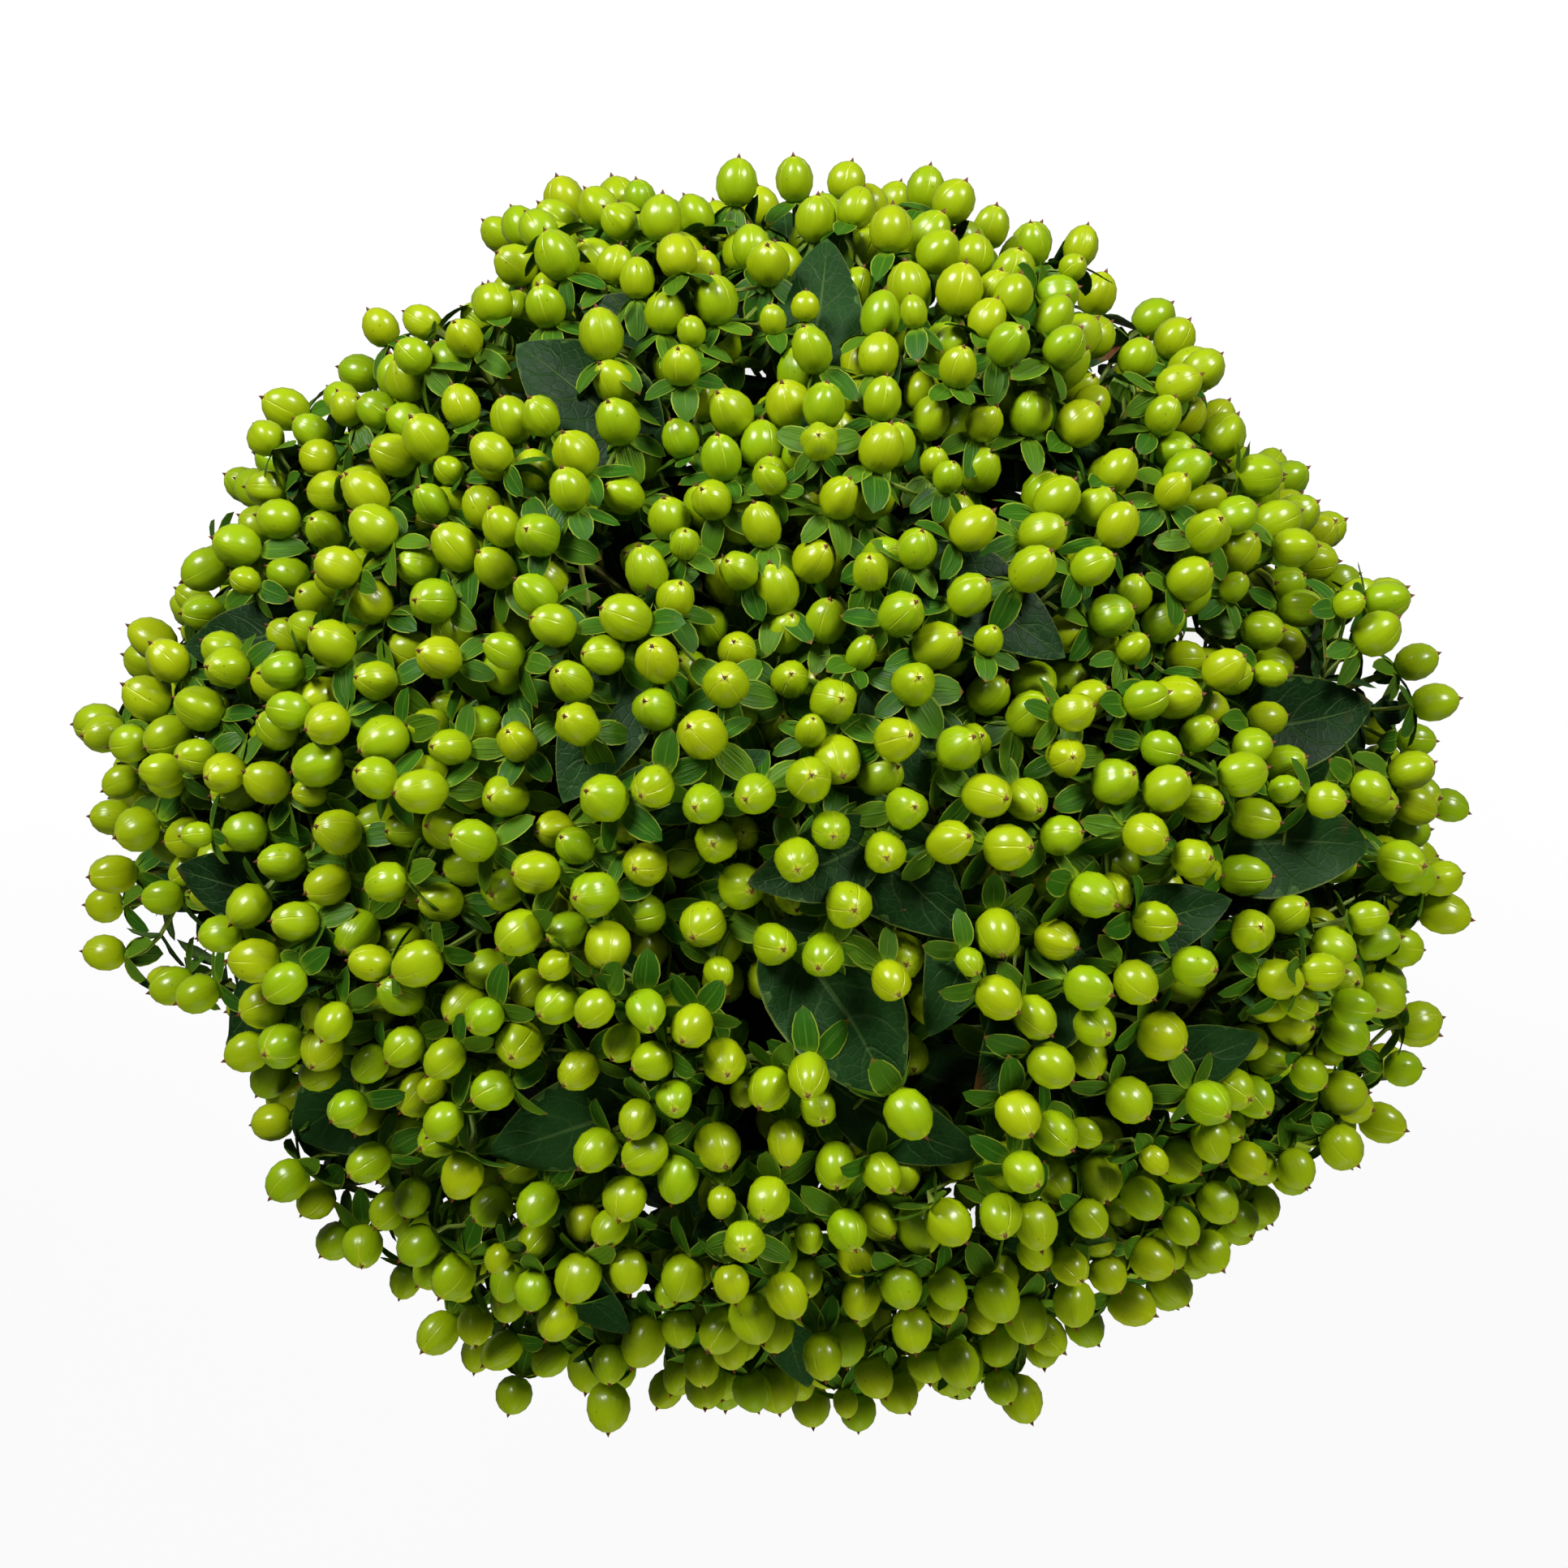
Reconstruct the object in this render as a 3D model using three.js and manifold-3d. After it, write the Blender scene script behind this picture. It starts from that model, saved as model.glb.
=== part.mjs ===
// A hand-tied bunch of green-berried hypericum branches, standing on its own cut ends.
// Millimetres, +Z up. The origin is the middle of the foot, on the surface that the bunch stands on.
//
// Every branch is one solid: a woody stem, the twigs that carry its berries, and its leaves.
// One branch stands in the middle and three rings of branches cross round it at the tie, all leaning
// the same way, so that no two touch. Below the tie the stems run straight down to the foot. Above it
// they arch outwards and share a domed head, each filling its own part of it with berries.
import * as THREE from "three";
import { mergeVertices } from "three/addons/utils/BufferGeometryUtils.js";
import Module from "manifold-3d";

// The bunch: where it is tied, and the dome through the middles of its outer berries.
const TIE_HEIGHT = 168;
const WIDEST_HEIGHT = 332;
const CROWN_RISE = 126;
const LOWEST_FALL = 107;
// The dome's reach from the axis at its widest, every 22.5 degrees from +X.
const REACH = [189, 171, 168, 172, 171, 172, 168, 171, 187, 177, 169, 178, 175, 177, 182, 188];

// The rings of branches, from the middle out.
const RINGS = [
  { count: 1, tieRadius: 0, turn: 0 },
  { count: 6, tieRadius: 5.4, turn: 14 },
  { count: 12, tieRadius: 10.6, turn: 3 },
  { count: 18, tieRadius: 15.9, turn: 9 },
];
const LEAN_PER_RADIUS = 0.0259;
const SPIRAL_TURN = 72;
// How far each branch of the outer ring stands proud of the dome.
const SWELL = [4, -3, 2, 5, -4, 3, -2, 4, 0, 6, -3, 2, 5, -2, 3, -4, 4, 1];
const INNER_SWELL = 3;

// A branch's stem and the twigs that carry its berries.
const STEM_SIDES = 5;
const FOOT_RADIUS = 2.45;
const TIE_STEM_RADIUS = 2.4;
const TIP_RADIUS = 1.2;
const TAPER = 1.6;
const ARCH_STEPS = 5;
const RISE_HANDLE = 0.42;
const HEAD_HANDLE = 0.36;
const TWIG_RADIUS = 1.05;
const TWIG_SIDES = 3;
const NEAREST_FORK = 9;
const FORK_GAP = 5;
const TWIG_SLANT = 0.95;
const DEEPEST_FORK = 0.62;

// The berries: pointed capsules, each at the end of a twig. The profile gives rings by height and
// width, as shares of the berry's length and radius, and how far each ring is turned.
const BERRIES = 276;
const BERRY_LENGTH = 12.6;
const BERRY_RADIUS = 5.7;
const BERRY_SIDES = 5;
const NECK_RADIUS = 0.85;
const BERRY_PROFILE = [
  { height: 0.4, width: 1, turn: 0 },
  { height: 0.75, width: 0.74, turn: 0.5 },
];
const SIZE_SPREAD = 0.13;
const SIDE_SHIFT = 4;
const DEEPEST = 15;
const PROUDEST = 4;
const NOD = 0.16;
const FAN_OUT = 0.3;

// The leaves: thin blades folded along the midrib. The stations give half-widths along the leaf, as
// shares of its width and length.
const LEAF_THICK = 0.8;
const LEAF_FOLD = 0.16;
const LEAF_ARCH = 0.2;
const LEAF_STATIONS = [
  { share: 0, half: 0 },
  { share: 0.3, half: 0.5 },
  { share: 0.67, half: 0.41 },
  { share: 1, half: 0 },
];
// The leaves along each stem stand in pairs, each pair so far back from the stem's tip.
const STEM_LEAF = { length: 50, width: 25, rise: 52, spread: 0.13 };
const LEAF_PAIRS = [56];
const LEAF_TURNS = [0, 26, -26, 52, -52, 78];
const LEAF_SHRINKS = [1, 0.8, 0.66];
// The large leaves that show between the berries: the tip in plan, the way it points, and its size.
const HEAD_LEAVES = [
  { tip: [15, 150], points: 82, length: 48, width: 24 },
  { tip: [-52, 130], points: 172, length: 42, width: 20 },
  { tip: [-68, 119], points: 136, length: 50, width: 28 },
  { tip: [63, 50], points: -66, length: 42, width: 22 },
  { tip: [50, -37], points: -40, length: 52, width: 27 },
  { tip: [40, -62], points: -110, length: 44, width: 20 },
  { tip: [32, -80], points: -57, length: 54, width: 32 },
  { tip: [52, -79], points: -124, length: 46, width: 22 },
  { tip: [53, -3], points: -45, length: 40, width: 20 },
  { tip: [-6, -23], points: 201, length: 36, width: 20 },
  { tip: [-52, -3], points: 243, length: 40, width: 22 },
  { tip: [75, 34], points: -35, length: 46, width: 24 },
  { tip: [0, 10], points: 14, length: 40, width: 17 },
  { tip: [-134, -97], points: 211, length: 52, width: 29 },
  { tip: [-74, -95], points: 202, length: 50, width: 28 },
  { tip: [-161, -21], points: 170, length: 44, width: 22 },
  { tip: [-151, -70], points: 214, length: 40, width: 22 },
  { tip: [-163, 40], points: 184, length: 42, width: 20 },
  { tip: [164, 24], points: 7, length: 58, width: 27 },
  { tip: [160, -15], points: 0, length: 50, width: 29 },
  { tip: [129, -64], points: 10, length: 46, width: 22 },
  { tip: [119, -28], points: 18, length: 42, width: 20 },
  { tip: [10, -166], points: 274, length: 48, width: 20 },
  { tip: [-38, -146], points: -51, length: 40, width: 18 },
  { tip: [-21, -119], points: 220, length: 40, width: 20 },
  { tip: [54, -94], points: -28, length: 44, width: 20 },
];
const HEAD_LEAF_DEPTH = 6;
const HEAD_LEAF_LEVEL = 0.8;
const HEAD_LEAF_RISE = 20;
const BEARERS_TRIED = 4;
// A large leaf shows from this share of its length on, with no berry this far above it.
const SHOWN_FROM = 0.3;
const COVER_HEIGHT = 24;

// How much room is kept between branches. They are tested as balls: those of a blade stand in rows
// across it, at these shares of its length, and those of a twig in one row along it.
const ROOM = 0.5;
const BLADE_BALL_RADIUS = 2.5;
const BLADE_BALL_ROWS = [0.18, 0.3, 0.42, 0.56, 0.7, 0.84, 0.98];
const BLADE_BALLS_IN_ROW = 5;
const TWIG_BALL_STEP = 3;
const FORK_PASSES = 4;
// Corners nearer than this to the line or face through their neighbours are dropped.
const SMOOTHING = 0.1;

// The tie: a few turns of twine. Two turns meet at this share of the twine's thickness.
const TWINE_TURNS = 4;
const TWINE_DIAMETER = 2.4;
const TWINE_VALLEY = 0.6;
const TIE_INNER_RADIUS = 19.2;
const TIE_SIDES = 20;

const UP = new THREE.Vector3(0, 0, 1);
const TIE_MIDDLE = new THREE.Vector3(0, 0, TIE_HEIGHT);
const DEGREE = Math.PI / 180;
const GOLDEN_ANGLE = Math.PI * (3 - Math.sqrt(5));

// A seeded draw from 0 to 1: Park and Miller's generator, which any language repeats exactly.
let drawState = 20260721;
function draw() {
  drawState = (drawState * 48271) % 2147483647;
  return drawState / 2147483647;
}

// A draw from low to high.
function between(low, high) {
  return low + (high - low) * draw();
}

// A unit vector at right angles to the given one.
function across(direction) {
  const side = Math.abs(direction.z) < 0.9 ? UP : new THREE.Vector3(1, 0, 0);
  return new THREE.Vector3().crossVectors(side, direction).normalize();
}

// The part of a vector at right angles to a direction, as a unit vector.
function squareTo(direction, vector) {
  return vector.clone().addScaledVector(direction, -vector.dot(direction)).normalize();
}

// A unit vector turned towards another at right angles to it, by an angle in degrees.
function turned(from, towards, angle) {
  const part = from.clone().multiplyScalar(Math.cos(angle * DEGREE));
  return part.addScaledVector(towards, Math.sin(angle * DEGREE));
}

// The dome's reach in one direction: a smooth closed curve through the compass values.
function reachAt(angle) {
  const place = ((((angle / (2 * Math.PI)) % 1) + 1) % 1) * REACH.length;
  const whole = Math.floor(place);
  const part = place - whole;
  const [a, b, c, d] = [-1, 0, 1, 2].map((shift) => REACH[(whole + shift + REACH.length) % REACH.length]);
  const bend = 2 * a - 5 * b + 4 * c - d;
  return b + 0.5 * part * (c - a + part * (bend + part * (3 * (b - c) + d - a)));
}

// A point on the dome and the outward direction there. fall is the angle down from the crown, and
// proud is how far the point stands out of the dome.
function domePoint(fall, angle, proud) {
  const reach = reachAt(angle);
  const round = new THREE.Vector3(Math.cos(angle), Math.sin(angle), 0);
  const outward = round.clone().multiplyScalar(CROWN_RISE * Math.sin(fall));
  outward.addScaledVector(UP, reach * Math.cos(fall)).normalize();
  const point = round.multiplyScalar(reach * Math.sin(fall));
  point.z = WIDEST_HEIGHT + CROWN_RISE * Math.cos(fall);
  point.addScaledVector(outward, proud);
  return { point, outward };
}

// The angle down from the crown inside which a share of the dome's surface lies, found by adding up
// narrow bands of a dome of mean reach.
const BANDS = 240;
const bandAreas = [0];
const meanReach = REACH.reduce((sum, reach) => sum + reach, 0) / REACH.length;
for (let band = 0; band < BANDS; band += 1) {
  const fall = ((band + 0.5) / BANDS) * LOWEST_FALL * DEGREE;
  const slant = Math.hypot(meanReach * Math.cos(fall), CROWN_RISE * Math.sin(fall));
  bandAreas.push(bandAreas[band] + Math.sin(fall) * slant);
}

function fallAtShare(share) {
  const wanted = share * bandAreas[BANDS];
  const band = bandAreas.findIndex((area) => area >= wanted);
  if (band <= 0) return 0;
  const part = (wanted - bandAreas[band - 1]) / (bandAreas[band] - bandAreas[band - 1]);
  return ((band - 1 + part) / BANDS) * LOWEST_FALL * DEGREE;
}

// Where each branch passes the tie, how it leans there, and the middle of its part of the head.
function plantBranches() {
  const branches = [];
  const total = RINGS.reduce((sum, ring) => sum + ring.count, 0);
  let inside = 0;
  for (const ring of RINGS) {
    const share = ring.count === 1 ? 0 : (inside + ring.count / 2) / total;
    for (let place = 0; place < ring.count; place += 1) {
      const headAngle = ((360 * place) / ring.count + ring.turn) * DEGREE;
      const tieAngle = headAngle - SPIRAL_TURN * DEGREE;
      const round = new THREE.Vector3(Math.cos(tieAngle), Math.sin(tieAngle), 0);
      const along = new THREE.Vector3(-round.y, round.x, 0);
      const lean = UP.clone().addScaledVector(along, ring.tieRadius * LEAN_PER_RADIUS).normalize();
      const isOuter = ring === RINGS[RINGS.length - 1];
      branches.push({
        lean,
        tie: round.multiplyScalar(ring.tieRadius).add(TIE_MIDDLE),
        aim: domePoint(fallAtShare(share), headAngle, 0).point.sub(TIE_MIDDLE).normalize(),
        swell: isOuter ? SWELL[place] : between(-INNER_SWELL, INNER_SWELL),
        berries: [],
        leaves: [],
        headLeaves: [],
        forks: [...LEAF_PAIRS],
        balls: [],
        rods: [],
      });
    }
    inside += ring.count;
  }
  return branches;
}

// The branch whose part of the head holds a point: the one whose aim is nearest to it.
function ownerOf(point, branches) {
  const heading = point.clone().sub(TIE_MIDDLE).normalize();
  return branches.reduce((best, branch) =>
    branch.aim.dot(heading) > best.aim.dot(heading) ? branch : best,
  );
}

// A leaf's midrib point at a share of its length, and the two edges of its blade there.
function leafStation(leaf, share, half) {
  const middle = leaf.root.clone().addScaledVector(leaf.heading, leaf.length * share);
  middle.addScaledVector(leaf.face, -LEAF_ARCH * leaf.length * share * share);
  const side = new THREE.Vector3().crossVectors(leaf.heading, leaf.face);
  const edge = (way) =>
    middle
      .clone()
      .addScaledVector(side, way * half * leaf.width)
      .addScaledVector(leaf.face, LEAF_FOLD * half * leaf.width);
  return { middle, left: edge(-1), right: edge(1) };
}

// Half the width of a blade at a share of its length, as a share of its full width.
function halfWidthAt(share) {
  const next = Math.max(1, LEAF_STATIONS.findIndex((station) => station.share >= share));
  const [near, far] = [LEAF_STATIONS[next - 1], LEAF_STATIONS[next]];
  return THREE.MathUtils.mapLinear(share, near.share, far.share, near.half, far.half);
}

// Balls all over a leaf's blade, by which it is kept clear of its neighbours. The first row is at its
// foot.
function bladeBalls(leaf) {
  const places = BLADE_BALL_ROWS.flatMap((share) => {
    const { middle, left, right } = leafStation(leaf, share, halfWidthAt(share));
    return [middle, left, right, middle.clone().lerp(left, 0.5), middle.clone().lerp(right, 0.5)];
  });
  return places.map((centre) => ({ centre, radius: BLADE_BALL_RADIUS }));
}

// Lays a large leaf in the head by its tip, its face between the dome's slope and level.
function layHeadLeaf({ tip, points, length, width }) {
  const angle = Math.atan2(tip[1], tip[0]);
  const fall = Math.asin(Math.min(1, Math.hypot(...tip) / reachAt(angle)));
  const { point, outward } = domePoint(fall, angle, -HEAD_LEAF_DEPTH);
  const level = outward.addScaledVector(UP, HEAD_LEAF_LEVEL).normalize();
  const way = new THREE.Vector3(Math.cos(points * DEGREE), Math.sin(points * DEGREE), 0);
  const ahead = squareTo(level, way);
  const heading = turned(ahead, level, HEAD_LEAF_RISE);
  const face = turned(level, ahead, -HEAD_LEAF_RISE);
  const root = point.addScaledVector(heading, -length).addScaledVector(face, LEAF_ARCH * length);
  const leaf = { root, heading, face, length, width };
  leaf.balls = bladeBalls(leaf);
  return leaf;
}

// Whether a berry would lie on a large leaf or pass through it.
function covers(point, leaf) {
  const offset = point.clone().sub(leaf.root);
  const share = offset.dot(leaf.heading) / leaf.length;
  if (share < SHOWN_FROM || share > 1) return false;
  const side = Math.abs(offset.dot(new THREE.Vector3().crossVectors(leaf.heading, leaf.face)));
  const above = offset.dot(leaf.face) + LEAF_ARCH * leaf.length * share * share;
  return side < 0.5 * leaf.width && above > -BERRY_LENGTH && above < COVER_HEIGHT;
}

// Shares berries evenly over the dome, on a golden spiral shaken a little, and gives each to the
// branch that holds its place. Those that would cover a large leaf are left out.
function shareBerries(branches, headLeaves) {
  for (let number = 0; number < BERRIES; number += 1) {
    const { point, outward } = domePoint(fallAtShare((number + 0.5) / BERRIES), number * GOLDEN_ANGLE, 0);
    const side = across(outward);
    const other = new THREE.Vector3().crossVectors(outward, side);
    point.addScaledVector(side, between(-SIDE_SHIFT, SIDE_SHIFT));
    point.addScaledVector(other, between(-SIDE_SHIFT, SIDE_SHIFT));
    const owner = ownerOf(point, branches);
    const heading = point.clone().sub(TIE_MIDDLE).normalize();
    point.addScaledVector(outward, owner.swell + between(-DEEPEST, PROUDEST));
    const size = between(1 - SIZE_SPREAD, 1 + SIZE_SPREAD);
    const axis = outward.clone().lerp(heading, FAN_OUT);
    axis.addScaledVector(side, between(-NOD, NOD)).addScaledVector(other, between(-NOD, NOD));
    axis.normalize();
    const base = point.clone().addScaledVector(axis, -0.5 * BERRY_LENGTH * size);
    if (headLeaves.some((leaf) => covers(point, leaf))) continue;
    owner.berries.push({ point, axis, base, size, nearness: owner.aim.dot(heading) });
  }
}

// A branch's stem: straight from the foot to the tie, and arched from there to the berry nearest to
// its aim, which ends it. The arch is a cubic curve, taken as a row of straight steps.
function archStem(branch) {
  branch.berries.sort((one, other) => other.nearness - one.nearness);
  const { base, axis } = branch.berries[0];
  const span = base.distanceTo(branch.tie);
  branch.foot = branch.tie.clone().addScaledVector(branch.lean, -TIE_HEIGHT / branch.lean.z);
  const curve = new THREE.CubicBezierCurve3(
    branch.tie,
    branch.tie.clone().addScaledVector(branch.lean, RISE_HANDLE * span),
    base.clone().addScaledVector(axis, -HEAD_HANDLE * span),
    base,
  );
  branch.arch = curve.getPoints(ARCH_STEPS);
  branch.directions = branch.arch.map((_, step) => curve.getTangent(step / ARCH_STEPS));
  branch.archLength = 0;
  for (let step = 0; step < ARCH_STEPS; step += 1) {
    const [start, end] = [branch.arch[step], branch.arch[step + 1]];
    branch.archLength += start.distanceTo(end);
    branch.rods.push({ start, end, radius: TIE_STEM_RADIUS });
  }
}

// The point of a stem at a distance back from its tip, and its direction there.
function stemAt(branch, back) {
  let left = back;
  let step = ARCH_STEPS - 1;
  while (step > 0 && left > branch.arch[step].distanceTo(branch.arch[step + 1])) {
    left -= branch.arch[step].distanceTo(branch.arch[step + 1]);
    step -= 1;
  }
  const direction = branch.arch[step + 1].clone().sub(branch.arch[step]).normalize();
  return { point: branch.arch[step + 1].clone().addScaledVector(direction, -left), direction };
}

// Where a twig to a place leaves the stem: far enough back for it to rise at about half a right angle,
// and clear of the forks that are taken.
function rootTwig(branch, place) {
  let back = NEAREST_FORK;
  for (let pass = 0; pass < FORK_PASSES; pass += 1) {
    const { point, direction } = stemAt(branch, back);
    const gap = place.clone().sub(point);
    const ahead = gap.dot(direction);
    const beside = Math.sqrt(Math.max(0, gap.lengthSq() - ahead * ahead));
    const wanted = back - ahead + TWIG_SLANT * beside;
    back = THREE.MathUtils.clamp(wanted, NEAREST_FORK, DEEPEST_FORK * branch.archLength);
  }
  while (branch.forks.some((fork) => Math.abs(fork - back) < FORK_GAP)) back += 1;
  return back;
}

// Balls along a twig.
function ballsAlong({ start, end, radius }) {
  const count = Math.ceil(start.distanceTo(end) / TWIG_BALL_STEP);
  return Array.from({ length: count + 1 }, (_, index) => ({
    centre: start.clone().lerp(end, index / count),
    radius,
  }));
}

// Whether balls stay clear of a set of balls and rods.
function isClear(balls, others, rods) {
  const line = new THREE.Line3();
  const nearest = new THREE.Vector3();
  return balls.every(
    ({ centre, radius }) =>
      others.every((other) => centre.distanceTo(other.centre) > radius + other.radius + ROOM) &&
      rods.every((rod) => {
        line.set(rod.start, rod.end).closestPointToPoint(centre, true, nearest);
        return nearest.distanceTo(centre) > radius + rod.radius + ROOM;
      }),
  );
}

// Whether balls stay clear of every branch but their owner.
function isClearOfOthers(balls, owner, branches) {
  return branches.every((branch) => branch === owner || isClear(balls, branch.balls, branch.rods));
}

// Gives each large leaf of the head a twig of a branch that holds its root or lies beside it: the
// first from which leaf and twig touch no other branch.
function carryHeadLeaves(branches, headLeaves) {
  for (const leaf of headLeaves) {
    const heading = leaf.root.clone().sub(TIE_MIDDLE).normalize();
    const bearers = [...branches].sort((one, other) => other.aim.dot(heading) - one.aim.dot(heading));
    for (const owner of bearers.slice(0, BEARERS_TRIED)) {
      const fork = rootTwig(owner, leaf.root);
      const rod = { start: stemAt(owner, fork).point, end: leaf.root, radius: TWIG_RADIUS };
      if (!isClearOfOthers([...leaf.balls, ...ballsAlong(rod)], owner, branches)) continue;
      leaf.from = rod.start;
      owner.forks.push(fork);
      owner.headLeaves.push(leaf);
      owner.balls.push(...leaf.balls);
      owner.rods.push(rod);
      break;
    }
  }
}

// Gives each berry its twig, and leaves out those that would touch another branch.
function carryBerries(branches) {
  for (const branch of branches) {
    const [last, ...sideBerries] = branch.berries;
    branch.berries = [last];
    branch.balls.push({ centre: last.point, radius: BERRY_RADIUS * last.size });
    for (const berry of sideBerries) {
      const fork = rootTwig(branch, berry.base);
      berry.root = stemAt(branch, fork).point;
      const ball = { centre: berry.point, radius: BERRY_RADIUS * berry.size };
      const rod = { start: berry.root, end: berry.base, radius: TWIG_RADIUS };
      const ownBlades = branch.headLeaves.flatMap((leaf) => leaf.balls.slice(BLADE_BALLS_IN_ROW));
      const balls = [ball, ...ballsAlong(rod)];
      if (!isClearOfOthers(balls, branch, branches) || !isClear(balls, ownBlades, [])) continue;
      branch.berries.push(berry);
      branch.forks.push(fork);
      branch.balls.push(ball);
      branch.rods.push(rod);
    }
  }
}

// A leaf that grows from a stem's point, at a turn round the stem, with its face to the stem.
function growLeaf({ point, direction }, turn, size) {
  const right = across(direction);
  const front = new THREE.Vector3().crossVectors(direction, right);
  const outward = turned(right, front, turn);
  const inward = outward.clone().negate();
  return {
    root: point,
    heading: turned(direction, outward, STEM_LEAF.rise),
    face: turned(inward, direction, STEM_LEAF.rise),
    length: STEM_LEAF.length * size,
    width: STEM_LEAF.width * size,
  };
}

// Sets a branch's leaves in opposite pairs, each pair crosswise to the next, turned or shortened
// where they would meet a neighbour, and left out where they still would.
function setLeaves(branch, branches) {
  const firstTurn = between(0, 180);
  const tries = LEAF_SHRINKS.flatMap((shrink) => LEAF_TURNS.map((shift) => ({ shrink, shift })));
  LEAF_PAIRS.forEach((back, pair) => {
    const node = stemAt(branch, back);
    for (const opposite of [0, 180]) {
      const grown = between(1 - STEM_LEAF.spread, 1 + STEM_LEAF.spread);
      for (const { shrink, shift } of tries) {
        const leaf = growLeaf(node, firstTurn + 90 * pair + opposite + shift, grown * shrink);
        const balls = bladeBalls(leaf);
        const beyondFoot = balls.slice(BLADE_BALLS_IN_ROW);
        if (isClearOfOthers(balls, branch, branches) && isClear(beyondFoot, branch.balls, [])) {
          branch.leaves.push(leaf);
          branch.balls.push(...balls);
          break;
        }
      }
    }
  });
}

// A ring of points round a centre.
function ringOf(centre, right, front, radius, sides, turn = 0) {
  return Array.from({ length: sides }, (_, side) => {
    const angle = ((side + turn) / sides) * 2 * Math.PI;
    const point = centre.clone().addScaledVector(right, radius * Math.cos(angle));
    return { angle, point: point.addScaledVector(front, radius * Math.sin(angle)) };
  });
}

// The solid whose skin joins a row of rings. Two rings may have different numbers of points: each
// triangle steps on along the ring whose next point comes first.
function skin(rings) {
  const vertices = rings.flatMap((ring) => ring.map((corner) => corner.point));
  const starts = rings.map((_, level) => rings.slice(0, level).reduce((sum, ring) => sum + ring.length, 0));
  const triangles = [];
  const angleOf = (ring, index) =>
    ring[index % ring.length].angle + 2 * Math.PI * Math.floor(index / ring.length);
  for (let level = 0; level + 1 < rings.length; level += 1) {
    const [low, high] = [rings[level], rings[level + 1]];
    const lowAt = (index) => starts[level] + (index % low.length);
    const highAt = (index) => starts[level + 1] + (index % high.length);
    let [below, above] = [0, 0];
    while (below < low.length || (above < high.length && high.length > 1)) {
      const isLowDone = below === low.length;
      const isHighDone = above === high.length || high.length === 1;
      if (isHighDone || (!isLowDone && angleOf(low, below + 1) <= angleOf(high, above + 1))) {
        triangles.push(lowAt(below), lowAt(below + 1), highAt(above));
        below += 1;
      } else {
        triangles.push(lowAt(below), highAt(above + 1), highAt(above));
        above += 1;
      }
    }
  }
  const last = rings.length - 1;
  for (let corner = 1; corner + 1 < rings[0].length; corner += 1)
    triangles.push(starts[0], starts[0] + corner + 1, starts[0] + corner);
  for (let corner = 1; corner + 1 < rings[last].length; corner += 1)
    triangles.push(starts[last], starts[last] + corner, starts[last] + corner + 1);
  return new THREE.BufferGeometry().setFromPoints(vertices).setIndex(triangles);
}

// The rings of a berry, from above its neck to its point.
function berryRings({ base, axis, size }, right) {
  const front = new THREE.Vector3().crossVectors(axis, right);
  const rings = BERRY_PROFILE.map(({ height, width, turn }) => {
    const centre = base.clone().addScaledVector(axis, height * BERRY_LENGTH * size);
    return ringOf(centre, right, front, width * BERRY_RADIUS * size, BERRY_SIDES, turn);
  });
  const point = base.clone().addScaledVector(axis, BERRY_LENGTH * size);
  return [...rings, [{ point, angle: 0 }]];
}

// A side twig with its berry, rooted in the middle of the stem.
function twigAndBerry(berry) {
  const direction = berry.base.clone().sub(berry.root).normalize();
  const right = across(direction);
  const front = new THREE.Vector3().crossVectors(direction, right);
  const neckRight = squareTo(berry.axis, right);
  const neckFront = new THREE.Vector3().crossVectors(berry.axis, neckRight);
  return skin([
    ringOf(berry.root, right, front, TWIG_RADIUS, TWIG_SIDES),
    ringOf(berry.base, neckRight, neckFront, NECK_RADIUS, TWIG_SIDES),
    ...berryRings(berry, neckRight),
  ]);
}

// The twig of a large leaf. It ends a little inside the blade.
function leafTwig(leaf) {
  const direction = leaf.root.clone().sub(leaf.from).normalize();
  const right = across(direction);
  const front = new THREE.Vector3().crossVectors(direction, right);
  const end = leaf.root.clone().addScaledVector(leaf.heading, 2 * TWIG_RADIUS);
  return skin([
    ringOf(leaf.from, right, front, TWIG_RADIUS, TWIG_SIDES),
    ringOf(end.addScaledVector(leaf.face, -0.5 * LEAF_THICK), right, front, TWIG_RADIUS, TWIG_SIDES),
  ]);
}

// A stem with the berry that ends it. The foot is cut level.
function stemAndBerry(branch) {
  let right = across(branch.lean);
  const front = new THREE.Vector3().crossVectors(branch.lean, right);
  const cut = ringOf(branch.foot, right, front, FOOT_RADIUS, STEM_SIDES);
  for (const { point } of cut) point.addScaledVector(branch.lean, -point.z / branch.lean.z);
  const rings = branch.arch.map((centre, step) => {
    const radius = THREE.MathUtils.lerp(TIE_STEM_RADIUS, TIP_RADIUS, (step / ARCH_STEPS) ** TAPER);
    right = squareTo(branch.directions[step], right);
    const ahead = new THREE.Vector3().crossVectors(branch.directions[step], right);
    return ringOf(centre, right, ahead, radius, STEM_SIDES);
  });
  return skin([cut, ...rings, ...berryRings(branch.berries[0], right)]);
}

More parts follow.
